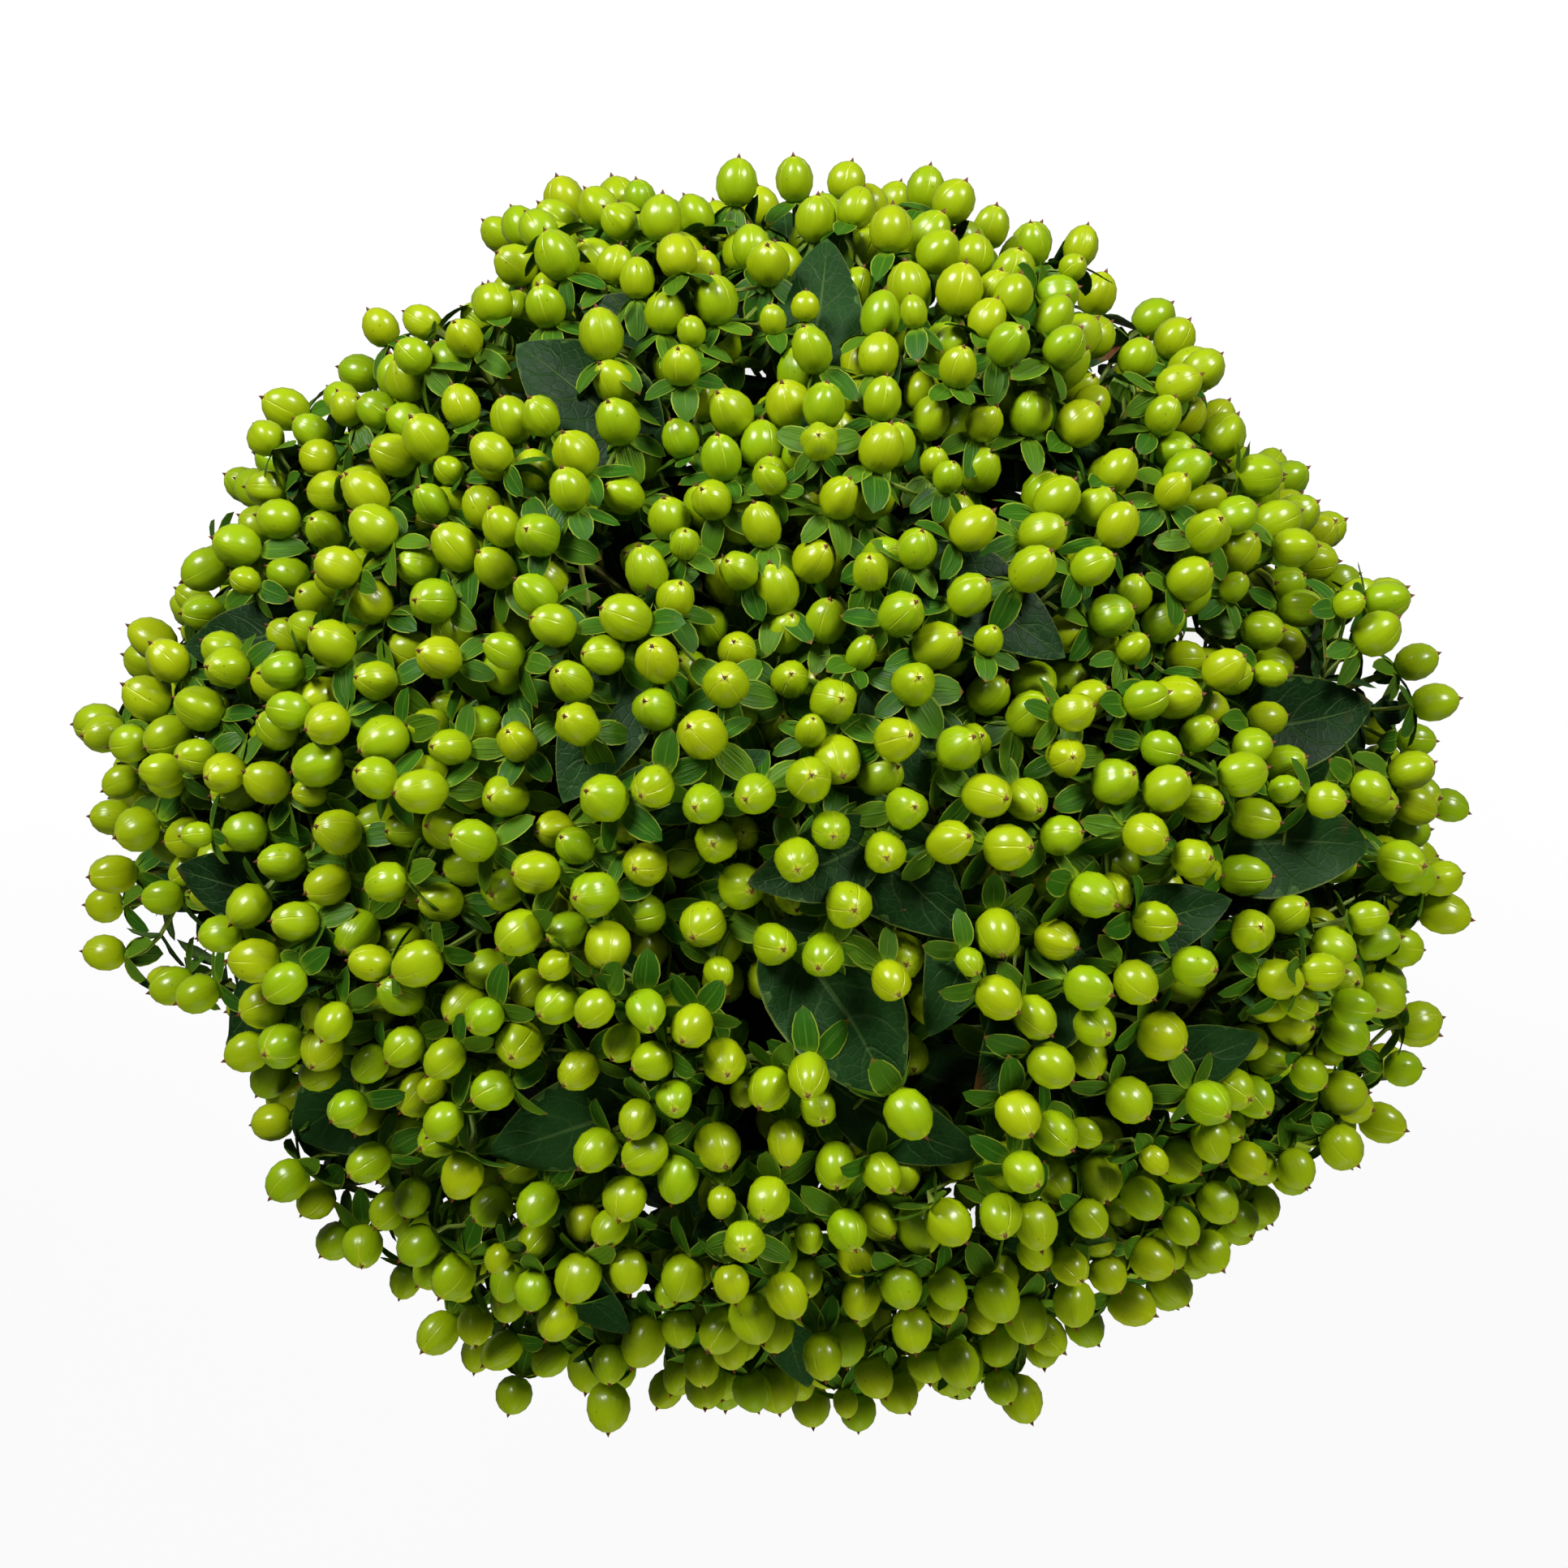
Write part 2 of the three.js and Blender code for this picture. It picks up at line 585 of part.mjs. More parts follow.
// A leaf: a thin blade folded along its midrib, with the same triangles on both faces.
function leafBlade(leaf) {
  const vertices = [];
  const rows = LEAF_STATIONS.map(({ share, half }) => {
    const { middle, left, right } = leafStation(leaf, share, half);
    const corners = half === 0 ? [middle] : [left, middle, right];
    return corners.map((corner) => {
      vertices.push(corner, corner.clone().addScaledVector(leaf.face, -LEAF_THICK));
      return vertices.length - 2;
    });
  });
  const triangles = [];
  const addBoth = (a, b, c) => triangles.push(a, b, c, a + 1, c + 1, b + 1);
  const pairOf = (row, half) => (row.length === 1 ? [row[0], row[0]] : [row[half], row[half + 1]]);
  for (let row = 0; row + 1 < rows.length; row += 1) {
    for (const half of [0, 1]) {
      const [nearLeft, nearRight] = pairOf(rows[row], half);
      const [farLeft, farRight] = pairOf(rows[row + 1], half);
      if (nearLeft !== nearRight) addBoth(nearLeft, nearRight, farRight);
      if (farLeft !== farRight) addBoth(nearLeft, farRight, farLeft);
    }
  }
  const rightSide = rows.map((row) => row[row.length - 1]);
  const leftSide = rows.slice(1, -1).map((row) => row[0]).reverse();
  const rim = [...rightSide, ...leftSide];
  rim.forEach((corner, index) => {
    const next = rim[(index + 1) % rim.length];
    triangles.push(corner, corner + 1, next + 1, corner, next + 1, next);
  });
  return new THREE.BufferGeometry().setFromPoints(vertices).setIndex(triangles);
}

const wasm = await Module();
wasm.setup();

// A closed geometry as a solid, and a solid as a geometry.
function toSolid(geometry) {
  const merged = mergeVertices(geometry, 1e-4);
  return new wasm.Manifold(
    new wasm.Mesh({
      numProp: 3,
      vertProperties: new Float32Array(merged.getAttribute("position").array),
      triVerts: new Uint32Array(merged.index.array),
    }),
  );
}

function toGeometry(solid) {
  const mesh = solid.getMesh();
  const geometry = new THREE.BufferGeometry();
  geometry.setAttribute("position", new THREE.BufferAttribute(new Float32Array(mesh.vertProperties), 3));
  geometry.setIndex(new THREE.BufferAttribute(new Uint32Array(mesh.triVerts), 1));
  geometry.computeVertexNormals();
  return geometry;
}

// A whole branch, fused into one solid.
function buildBranch(branch) {
  const pieces = [
    stemAndBerry(branch),
    ...branch.berries.slice(1).map(twigAndBerry),
    ...branch.headLeaves.flatMap((leaf) => [leafTwig(leaf), leafBlade(leaf)]),
    ...branch.leaves.map(leafBlade),
  ];
  const whole = pieces.map(toSolid).reduce((joined, piece) => joined.add(piece));
  return toGeometry(whole.asOriginal().simplify(SMOOTHING));
}

// The turns of twine, side by side, as one ring with a scalloped outside.
function buildTie() {
  const half = 0.5 * TWINE_TURNS * TWINE_DIAMETER;
  const outline = [new THREE.Vector2(TIE_INNER_RADIUS, -half)];
  for (let turn = 0; turn < TWINE_TURNS; turn += 1) {
    const low = turn * TWINE_DIAMETER - half;
    outline.push(new THREE.Vector2(TIE_INNER_RADIUS + TWINE_VALLEY * TWINE_DIAMETER, low));
    outline.push(new THREE.Vector2(TIE_INNER_RADIUS + TWINE_DIAMETER, low + 0.5 * TWINE_DIAMETER));
  }
  outline.push(new THREE.Vector2(TIE_INNER_RADIUS + TWINE_VALLEY * TWINE_DIAMETER, half));
  outline.push(new THREE.Vector2(TIE_INNER_RADIUS, half));
  outline.push(outline[0].clone());
  const ring = new THREE.LatheGeometry(outline, TIE_SIDES);
  ring.rotateX(90 * DEGREE);
  ring.translate(0, 0, TIE_HEIGHT);
  return ring;
}

const branches = plantBranches();
const headLeaves = HEAD_LEAVES.map(layHeadLeaf);
shareBerries(branches, headLeaves);
branches.forEach(archStem);
carryHeadLeaves(branches, headLeaves);
carryBerries(branches);
for (const branch of branches) setLeaves(branch, branches);

const bunch = new THREE.Group();
const green = new THREE.MeshStandardMaterial({ color: 0x8ea51a, roughness: 0.4, metalness: 0 });
const straw = new THREE.MeshStandardMaterial({ color: 0xb08d57, roughness: 0.9, metalness: 0 });
branches.forEach((branch, index) => {
  const mesh = new THREE.Mesh(buildBranch(branch), green);
  mesh.name = `branch_${String(index + 1).padStart(2, "0")}`;
  bunch.add(mesh);
});
const tie = new THREE.Mesh(buildTie(), straw);
tie.name = "tie";
bunch.add(tie);

export default bunch;
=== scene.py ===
"""A hand-tied bunch of green-berried hypericum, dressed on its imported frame.

Shapes are worked out in millimetres and put into their meshes in metres. The places of the stems,
twigs, berries and leaves repeat the rules and the seeded draws by which the branches' solids were
laid out, and the solids' own corners say which of those places are taken.
"""

from __future__ import annotations

import logging
import math
from dataclasses import dataclass, field, fields
from enum import Enum, IntEnum
from typing import Any

import bpy
import numpy as np
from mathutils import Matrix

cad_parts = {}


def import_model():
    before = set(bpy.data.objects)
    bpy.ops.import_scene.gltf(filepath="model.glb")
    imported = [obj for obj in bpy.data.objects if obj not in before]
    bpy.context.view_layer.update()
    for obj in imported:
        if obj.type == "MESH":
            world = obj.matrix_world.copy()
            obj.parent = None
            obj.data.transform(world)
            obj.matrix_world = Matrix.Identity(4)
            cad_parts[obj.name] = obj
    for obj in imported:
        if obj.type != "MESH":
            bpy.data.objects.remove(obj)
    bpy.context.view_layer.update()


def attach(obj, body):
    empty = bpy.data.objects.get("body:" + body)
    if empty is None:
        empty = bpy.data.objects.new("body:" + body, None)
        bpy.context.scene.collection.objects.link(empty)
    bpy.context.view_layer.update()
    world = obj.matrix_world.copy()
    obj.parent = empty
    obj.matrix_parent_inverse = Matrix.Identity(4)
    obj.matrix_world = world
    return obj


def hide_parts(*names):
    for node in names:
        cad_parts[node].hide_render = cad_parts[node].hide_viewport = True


log = logging.getLogger("hypericum")

MM = 0.001
DEGREE = math.pi / 180
UP = np.array([0.0, 0.0, 1.0])
EAST = np.array([1.0, 0.0, 0.0])
GOLDEN_ANGLE = math.pi * (3 - math.sqrt(5))


class Slot(Enum):
    """The kinds of material, one paired with each piece as it is built."""

    BERRY = "berry"
    SEPAL = "sepal"
    LEAF = "leaf"
    BARK = "bark"
    TWINE = "twine"


# ---------------------------------------------------------------- directions and paths


def unit(vectors: np.ndarray) -> np.ndarray:
    """Scales vectors to length one."""
    return vectors / np.linalg.norm(vectors, axis=-1, keepdims=True)


def across(directions: np.ndarray) -> np.ndarray:
    """A unit vector at right angles to each direction: level, or along Y under a steep one."""
    is_flat = np.abs(directions[..., 2:3]) < 0.9
    return unit(np.cross(np.where(is_flat, UP, EAST), directions))


def turned(start: np.ndarray, towards: np.ndarray, angle: float | np.ndarray) -> np.ndarray:
    """Unit vectors turned towards others at right angles to them, by an angle in degrees."""
    return start * np.cos(angle * DEGREE) + towards * np.sin(angle * DEGREE)


def bezier(handles: np.ndarray, shares: np.ndarray) -> np.ndarray:
    """Points on cubic curves: the handles weighted by (1-t)^3, 3t(1-t)^2, 3t^2(1-t) and t^3.

    Args:
        handles: The curves' four handles each, shape (..., 4, 3).
        shares: The parameters t, shape (R,).

    Returns:
        The points, shape (..., R, 3).
    """
    rest = 1 - shares
    weights = [rest**3, 3 * shares * rest**2, 3 * shares**2 * rest, shares**3]
    return np.einsum("wr,...wk->...rk", np.array(weights), handles)


def near_end(handles: np.ndarray, back: float) -> tuple[np.ndarray, np.ndarray]:
    """The point of each cubic curve about a distance back from its end, and the direction there.

    Args:
        handles: The curves' handles, shape (N, 4, 3).
        back: The distance, which a short curve doesn't reach.

    Returns:
        The points and the directions.
    """
    steps = 40
    span = np.linalg.norm(handles[:, 3] - handles[:, 0], axis=1)
    step = np.rint(np.clip(1 - back / span, 0.15, 0.9) * steps).astype(int)
    points, row = bezier(handles, np.linspace(0, 1, steps + 1)), np.arange(len(handles))
    return points[row, step], unit(points[row, step + 1] - points[row, step - 1])


def frames(paths: np.ndarray) -> tuple[np.ndarray, np.ndarray]:
    """Carries a pair of side directions along paths without twist.

    Args:
        paths: Points along each path, shape (N, R, 3).

    Returns:
        The right and front directions at each point. Right, front and along make a right hand.
    """
    along = unit(np.gradient(paths, axis=1))
    right = np.empty_like(along)
    right[:, 0] = across(along[:, 0])
    for row in range(1, paths.shape[1]):
        before = right[:, row - 1]
        lean = np.sum(before * along[:, row], axis=-1, keepdims=True)
        right[:, row] = unit(before - lean * along[:, row])
    return right, np.cross(along, right)


# ---------------------------------------------------------------- closed tubes, the one mesh form


@dataclass
class Tubes:
    """Many tubes of one make: rings of points, closed by a point at either end.

    Attributes:
        rings: The rings' points, shape (N, R, S, 3).
        starts: The points that close the first rings, shape (N, 3).
        ends: The points that close the last rings, shape (N, 3).
        across: The UV place round the tube of each side, and of the first again, shape (N, S + 1).
        along: The UV place of each ring, shape (R,).
        marks: Named values, each broadcast to shape (N, R, S).
    """

    rings: np.ndarray
    starts: np.ndarray
    ends: np.ndarray
    across: np.ndarray
    along: np.ndarray
    marks: dict[str, np.ndarray] = field(default_factory=dict)


def sweep(paths: np.ndarray, radii: np.ndarray, sides: int, marks: dict[str, np.ndarray]) -> Tubes:
    """Round tubes: each path point plus radius times (right cos a + front sin a).

    Args:
        paths: The tubes' middle lines, shape (N, R, 3).
        radii: The radius at each point, broadcast to shape (N, R).
        sides: The number of sides.
        marks: Named values for the tubes.

    Returns:
        The tubes.
    """
    right, front = frames(paths)
    angle = np.arange(sides) / sides * 2 * math.pi
    spoke = right[:, :, None] * np.cos(angle)[:, None] + front[:, :, None] * np.sin(angle)[:, None]
    reach = np.broadcast_to(radii, paths.shape[:2])[:, :, None, None]
    turns = np.broadcast_to(np.arange(sides + 1) / sides, (len(paths), sides + 1))
    rings = paths[:, :, None] + reach * spoke
    return Tubes(rings, paths[:, 0], paths[:, -1], turns, np.linspace(0, 1, paths.shape[1]), marks)


class Shell:
    """Gathers closed tubes into one mesh, with their UV places and marks."""

    def __init__(self, *marks: str) -> None:
        """Starts an empty mesh whose corners carry the named marks."""
        self._points: list[np.ndarray] = []
        self._corners: list[np.ndarray] = []
        self._sizes: list[np.ndarray] = []
        self._places: list[np.ndarray] = []
        self._marks: dict[str, list[np.ndarray]] = {mark: [] for mark in marks}
        self._count = 0

    def add(self, tubes: Tubes) -> None:
        """Adds tubes. Corners run from the start point, ring by ring, to the end point."""
        count, rows, sides, _ = tubes.rings.shape
        if count == 0:
            return
        total = rows * sides + 2
        inner = tubes.rings.reshape(count, -1, 3)
        self._points.append(np.concatenate([tubes.starts[:, None], inner, tubes.ends[:, None]], axis=1))
        around = np.arange(sides)
        row, side = (grid.ravel() for grid in np.meshgrid(np.arange(rows - 1), around, indexing="ij"))

        def corner(ring: Any, place: np.ndarray) -> np.ndarray:
            """The number of a ring's corner."""
            return 1 + ring * sides + place % sides

        low = [np.zeros(sides, int), corner(0, around + 1), corner(0, around)]
        high = [np.full(sides, total - 1), corner(rows - 1, around), corner(rows - 1, around + 1)]
        wall = [corner(row, side), corner(row, side + 1), corner(row + 1, side + 1), corner(row + 1, side)]
        pattern = np.concatenate([np.stack(part, -1).ravel() for part in (low, high, wall)])
        starts = self._count + total * np.arange(count)
        self._corners.append((pattern + starts[:, None]).ravel())
        sizes = np.concatenate([np.full(2 * sides, 3), np.full((rows - 1) * sides, 4)])
        self._sizes.append(np.tile(sizes, count))
        self._places.append(self._uv(tubes, row, side))
        for mark, values in self._marks.items():
            full = np.broadcast_to(tubes.marks.get(mark, 0.0), (count, rows, sides))
            ends = [full[:, 0].mean(-1)[:, None], full.reshape(count, -1), full[:, -1].mean(-1)[:, None]]
            values.append(np.concatenate(ends, axis=1).ravel())
        self._count += total * count

    @staticmethod
    def _uv(tubes: Tubes, row: np.ndarray, side: np.ndarray) -> np.ndarray:
        """The UV place of every face corner, in the order in which the corners are added."""
        count, _, sides, _ = tubes.rings.shape
        u, around = tubes.across, np.arange(sides)
        middle = 0.5 * (u[:, :-1] + u[:, 1:])

        def fan(v: tuple[float, float], order: tuple[int, int]) -> np.ndarray:
            """The places of a fan of triangles about an end point."""
            level = np.broadcast_to([v[0], v[1], v[1]], (count, sides, 3))
            sides_u = np.stack([middle, u[:, around + order[0]], u[:, around + order[1]]], -1)
            return np.stack([sides_u, level], -1).reshape(count, -1, 2)

        wall_u = np.stack([u[:, side], u[:, side + 1], u[:, side + 1], u[:, side]], -1)
        along = tubes.along
        wall_v = np.stack([along[row], along[row], along[row + 1], along[row + 1]], -1)
        wall = np.stack([wall_u, np.broadcast_to(wall_v, wall_u.shape)], -1).reshape(count, -1, 2)
        low, high = fan((0.0, float(along[0])), (1, 0)), fan((1.0, float(along[-1])), (0, 1))
        return np.concatenate([low, high, wall], axis=1).reshape(-1, 2)

    def build(self, name: str, finish: bpy.types.Material, crease: float | None) -> bpy.types.Object:
        """Makes the mesh and its object.

        Args:
            name: The object's name.
            finish: Its material.
            crease: The angle in degrees past which an edge is sharp, or None if all are smooth.

        Returns:
            The object, at the origin.
        """
        points = np.concatenate([part.reshape(-1, 3) for part in self._points]) * MM
        corners, sizes = np.concatenate(self._corners), np.concatenate(self._sizes)
        mesh = bpy.data.meshes.new(name)
        mesh.vertices.add(len(points))
        mesh.vertices.foreach_set("co", points.astype(np.float32).ravel())
        mesh.loops.add(len(corners))
        mesh.loops.foreach_set("vertex_index", corners.astype(np.int32))
        mesh.polygons.add(len(sizes))
        mesh.polygons.foreach_set("loop_start", (np.cumsum(sizes) - sizes).astype(np.int32))
        mesh.polygons.foreach_set("use_smooth", np.ones(len(sizes), bool))
        places = mesh.uv_layers.new(name="skin")
        places.uv.foreach_set("vector", np.concatenate(self._places).astype(np.float32).ravel())
        for mark, values in self._marks.items():
            layer = mesh.attributes.new(mark, "FLOAT", "POINT")
            layer.data.foreach_set("value", np.concatenate(values).astype(np.float32))
        mesh.update(calc_edges=True)
        mesh.validate()
        if crease is not None:
            mesh.set_sharp_from_angle(angle=crease * DEGREE)
        mesh.materials.append(finish)
        made = bpy.data.objects.new(name, mesh)
        bpy.context.scene.collection.objects.link(made)
        return made


# ---------------------------------------------------------------- where everything grows


class Draw:
    """Seeded draws from 0 to 1, by Park and Miller's generator."""

    def __init__(self, seed: int) -> None:
        """Starts the row of draws."""
        self._state = seed

    def between(self, low: float, high: float) -> float:
        """The next draw, from low to high."""
        self._state = self._state * 48271 % 2147483647
        return low + (high - low) * (self._state / 2147483647)


@dataclass(frozen=True)
class Dome:
    """The dome through the middles of the outer berries. Lengths are millimetres.

    Attributes:
        widest_height: The height at which it is widest.
        crown_rise: How far its crown stands above that.
        lowest_fall: How far round it the berries reach, in degrees down from the crown.
        bands: The number of narrow bands by which its surface is measured.
        reach: Its reach from the axis at its widest, at even turns from +X.
    """

    widest_height: float = 332
    crown_rise: float = 126
    lowest_fall: float = 107
    bands: int = 240
    reach: tuple[float, ...] = (
        189, 171, 168, 172, 171, 172, 168, 171, 187, 177, 169, 178, 175, 177, 182, 188,
    )  # fmt: skip

    def reach_at(self, angle: float) -> float:
        """The reach in one direction: a smooth closed curve through the given values."""
        place = (angle / (2 * math.pi)) % 1 * len(self.reach)
        whole = math.floor(place)
        part = place - whole
        a, b, c, d = (self.reach[(whole + shift) % len(self.reach)] for shift in (-1, 0, 1, 2))
        bend = 2 * a - 5 * b + 4 * c - d
        return b + 0.5 * part * (c - a + part * (bend + part * (3 * (b - c) + d - a)))

    def place(self, fall: float, angle: float, proud: float) -> tuple[np.ndarray, np.ndarray]:
        """A point on the dome and the outward direction there.

        Args:
            fall: The angle down from the crown, in radians.
            angle: The angle round the axis, in radians.
            proud: How far the point stands out of the dome.

        Returns:
            The point and the direction.
        """
        reach = self.reach_at(angle)
        round_way = np.array([math.cos(angle), math.sin(angle), 0.0])
        outward = unit(round_way * self.crown_rise * math.sin(fall) + UP * reach * math.cos(fall))
        point = round_way * reach * math.sin(fall)
        point[2] = self.widest_height + self.crown_rise * math.cos(fall)
        return point + outward * proud, outward

    def fall_at(self, share: float) -> float:
        """The angle down from the crown inside which a share of the dome's surface lies."""
        middles = (np.arange(self.bands) + 0.5) / self.bands * self.lowest_fall * DEGREE
        mean = sum(self.reach) / len(self.reach)
        slant = np.hypot(mean * np.cos(middles), self.crown_rise * np.sin(middles))
        areas = np.concatenate([[0.0], np.cumsum(np.sin(middles) * slant)])
        wanted = share * areas[-1]
        band = int(np.searchsorted(areas, wanted))
        if band == 0:
            return 0.0
        part = (wanted - areas[band - 1]) / (areas[band] - areas[band - 1])
        return (band - 1 + part) / self.bands * self.lowest_fall * DEGREE


@dataclass
class Leaf:
    """One leaf: where it grows from, its directions and its size in millimetres."""

    root: np.ndarray
    heading: np.ndarray
    face: np.ndarray
    length: float
    width: float
    arch: float = 0.2

    def middle(self, share: float) -> np.ndarray:
        """A point of the midrib: straight ahead, less the arch times the share squared."""
        drop = self.arch * self.length * share * share
        return self.root + self.heading * self.length * share - self.face * drop


@dataclass
class Berry:
    """One berry of a branch's solid: its middle, its axis, its foot and its relative size."""

    point: np.ndarray
    axis: np.ndarray
    base: np.ndarray
    size: float
    nearness: float
    fork: float = 0.0


@dataclass
class Branch:
    """A branch: its stem, and what grows on it. Forks are distances back from the stem's tip."""

    node: str
    lean: np.ndarray
    tie: np.ndarray
    aim: np.ndarray
    swell: float
    forks: list[float]
    berries: list[Berry] = field(default_factory=list)
    leaves: list[Leaf] = field(default_factory=list)
    leaf_forks: list[float] = field(default_factory=list)
    head_leaves: list[tuple[Leaf, float]] = field(default_factory=list)
    handles: np.ndarray = field(default_factory=lambda: np.zeros((4, 3)))
    arch: np.ndarray = field(default_factory=lambda: np.zeros((2, 3)))
    length: float = 0.0

    def at(self, back: float) -> tuple[np.ndarray, np.ndarray, float]:
        """The stem's straight steps at a distance back from the tip.

        Args:
            back: The distance in millimetres.

        Returns:
            The point, the direction there, and the parameter of the smooth curve beside it.
        """
        steps = len(self.arch) - 1
        spans = np.linalg.norm(np.diff(self.arch, axis=0), axis=1)
        step = steps - 1
        while step > 0 and back > spans[step]:
            back -= spans[step]
            step -= 1
        direction = unit(self.arch[step + 1] - self.arch[step])
        share = (step + 1 - back / spans[step]) / steps
        return self.arch[step + 1] - direction * back, direction, max(share, 0.0)

    def on_curve(self, back: float) -> tuple[np.ndarray, np.ndarray]:
        """The point of the smooth stem at a distance back from the tip, and its direction."""
        share = self.at(back)[2]
        near = bezier(self.handles, np.array([share - 0.01, share, share + 0.01]))
        return near[1], unit(near[2] - near[0])


@dataclass(frozen=True)
class HeadLeaf:
    """A large leaf that shows between the berries: its tip in plan, its way and its size."""

    tip: tuple[float, float]
    points: float
    length: float
    width: float


@dataclass
class Layout:
    """Lays out the branches as their solids lie. Lengths are millimetres, angles degrees."""

    seed: int = 20260721
    dome: Dome = field(default_factory=Dome)
    tie_height: float = 168
    rings: tuple[tuple[int, float, float], ...] = ((1, 0, 0), (6, 5.4, 14), (12, 10.6, 3), (18, 15.9, 9))
    lean_per_radius: float = 0.0259
    spiral_turn: float = 72
    swell: tuple[float, ...] = (4, -3, 2, 5, -4, 3, -2, 4, 0, 6, -3, 2, 5, -2, 3, -4, 4, 1)
    inner_swell: float = 3
    arch_steps: int = 5
    rise_handle: float = 0.42
    head_handle: float = 0.36
    nearest_fork: float = 9
    fork_gap: float = 5
    fork_passes: int = 4
    twig_slant: float = 0.95
    deepest_fork: float = 0.62
    berries: int = 276
    berry_length: float = 12.6
    size_spread: float = 0.13
    side_shift: float = 4
    deepest: float = 15
    proudest: float = 4
    nod: float = 0.16
    fan_out: float = 0.3
    leaf_pairs: tuple[float, ...] = (56,)
    leaf_turns: tuple[float, ...] = (0, 26, -26, 52, -52, 78)
    leaf_shrinks: tuple[float, ...] = (1, 0.8, 0.66)
    stem_leaf: tuple[float, float, float, float] = (50, 25, 52, 0.13)
    head_leaf_depth: float = 6
    head_leaf_level: float = 0.8
    head_leaf_rise: float = 20
    match: float = 0.05
    head_leaves: tuple[HeadLeaf, ...] = (
        HeadLeaf((15, 150), 82, 48, 24),
        HeadLeaf((-52, 130), 172, 42, 20),
        HeadLeaf((-68, 119), 136, 50, 28),
        HeadLeaf((63, 50), -66, 42, 22),
        HeadLeaf((50, -37), -40, 52, 27),
        HeadLeaf((40, -62), -110, 44, 20),
        HeadLeaf((32, -80), -57, 54, 32),
        HeadLeaf((52, -79), -124, 46, 22),
        HeadLeaf((53, -3), -45, 40, 20),
        HeadLeaf((-6, -23), 201, 36, 20),
        HeadLeaf((-52, -3), 243, 40, 22),
        HeadLeaf((75, 34), -35, 46, 24),
        HeadLeaf((0, 10), 14, 40, 17),
        HeadLeaf((-134, -97), 211, 52, 29),
        HeadLeaf((-74, -95), 202, 50, 28),
        HeadLeaf((-161, -21), 170, 44, 22),
        HeadLeaf((-151, -70), 214, 40, 22),
        HeadLeaf((-163, 40), 184, 42, 20),
        HeadLeaf((164, 24), 7, 58, 27),
        HeadLeaf((160, -15), 0, 50, 29),
        HeadLeaf((129, -64), 10, 46, 22),
        HeadLeaf((119, -28), 18, 42, 20),
        HeadLeaf((10, -166), 274, 48, 20),
        HeadLeaf((-38, -146), -51, 40, 18),
        HeadLeaf((-21, -119), 220, 40, 20),
        HeadLeaf((54, -94), -28, 44, 20),
    )

    def grow(self) -> list[Branch]:
        """Lays out every branch.

        Returns:
            The branches, with the berries and leaves that their solids hold.
        """
        draw = Draw(self.seed)
        branches = self._plant(draw)
        self._corners = {branch.node: self._solid_corners(branch.node) for branch in branches}
        self._share_berries(branches, draw)
        for branch in branches:
            self._arch(branch)
        self._carry_head_leaves(branches)
        for branch in branches:
            self._carry_berries(branch)
        for branch in branches:
            self._set_leaves(branch, draw)
        return branches

    @staticmethod
    def _solid_corners(node: str) -> np.ndarray:
        """The corners of a node's solid, in millimetres."""
        mesh = bpy.data.objects[node].data
        points = np.empty(len(mesh.vertices) * 3, np.float32)
        mesh.vertices.foreach_get("co", points)
        return points.reshape(-1, 3).astype(float) / MM

    def _is_taken(self, node: str, point: np.ndarray) -> bool:
        """Whether a node's solid has a corner at a point."""
        gaps = np.linalg.norm(self._corners[node] - point, axis=1)
        return bool(gaps.min() < self.match)

    @property
    def tie_middle(self) -> np.ndarray:
        """The middle of the tie."""
        return UP * self.tie_height

    def _plant(self, draw: Draw) -> list[Branch]:
        """Where each branch passes the tie, how it leans, and the middle of its part of the head."""
        branches: list[Branch] = []
        total = sum(count for count, _, _ in self.rings)
        for count, radius, turn in self.rings:
            inside = len(branches)
            share = 0.0 if count == 1 else (inside + count / 2) / total
            is_outer = count == self.rings[-1][0]
            for place in range(count):
                head_angle = (360 * place / count + turn) * DEGREE
                tie_angle = head_angle - self.spiral_turn * DEGREE
                round_way = np.array([math.cos(tie_angle), math.sin(tie_angle), 0.0])
                along = np.cross(UP, round_way)
                lean = unit(UP + along * radius * self.lean_per_radius)
                middle, _ = self.dome.place(self.dome.fall_at(share), head_angle, 0)
                inner = self.inner_swell
                swell = self.swell[place] if is_outer else draw.between(-inner, inner)
                name = f"branch_{inside + place + 1:02d}"
                tie = round_way * radius + self.tie_middle
                aim = unit(middle - self.tie_middle)
                branches.append(Branch(name, lean, tie, aim, swell, list(self.leaf_pairs)))
        return branches

    def _share_berries(self, branches: list[Branch], draw: Draw) -> None:
        """Shares berries over the dome on a golden spiral, each to the branch that aims nearest."""
        aims = np.array([branch.aim for branch in branches])
        for number in range(self.berries):
            fall = self.dome.fall_at((number + 0.5) / self.berries)
            point, outward = self.dome.place(fall, number * GOLDEN_ANGLE, 0)
            side = across(outward)
            other = np.cross(outward, side)
            point = point + side * draw.between(-self.side_shift, self.side_shift)
            point = point + other * draw.between(-self.side_shift, self.side_shift)
            heading = unit(point - self.tie_middle)
            nearness = aims @ heading
            owner = branches[int(nearness.argmax())]
            point = point + outward * (owner.swell + draw.between(-self.deepest, self.proudest))
            size = draw.between(1 - self.size_spread, 1 + self.size_spread)
            axis = outward + (heading - outward) * self.fan_out
            axis = axis + side * draw.between(-self.nod, self.nod)
            axis = unit(axis + other * draw.between(-self.nod, self.nod))
            base = point - axis * 0.5 * self.berry_length * size
            owner.berries.append(Berry(point, axis, base, size, float(nearness.max())))

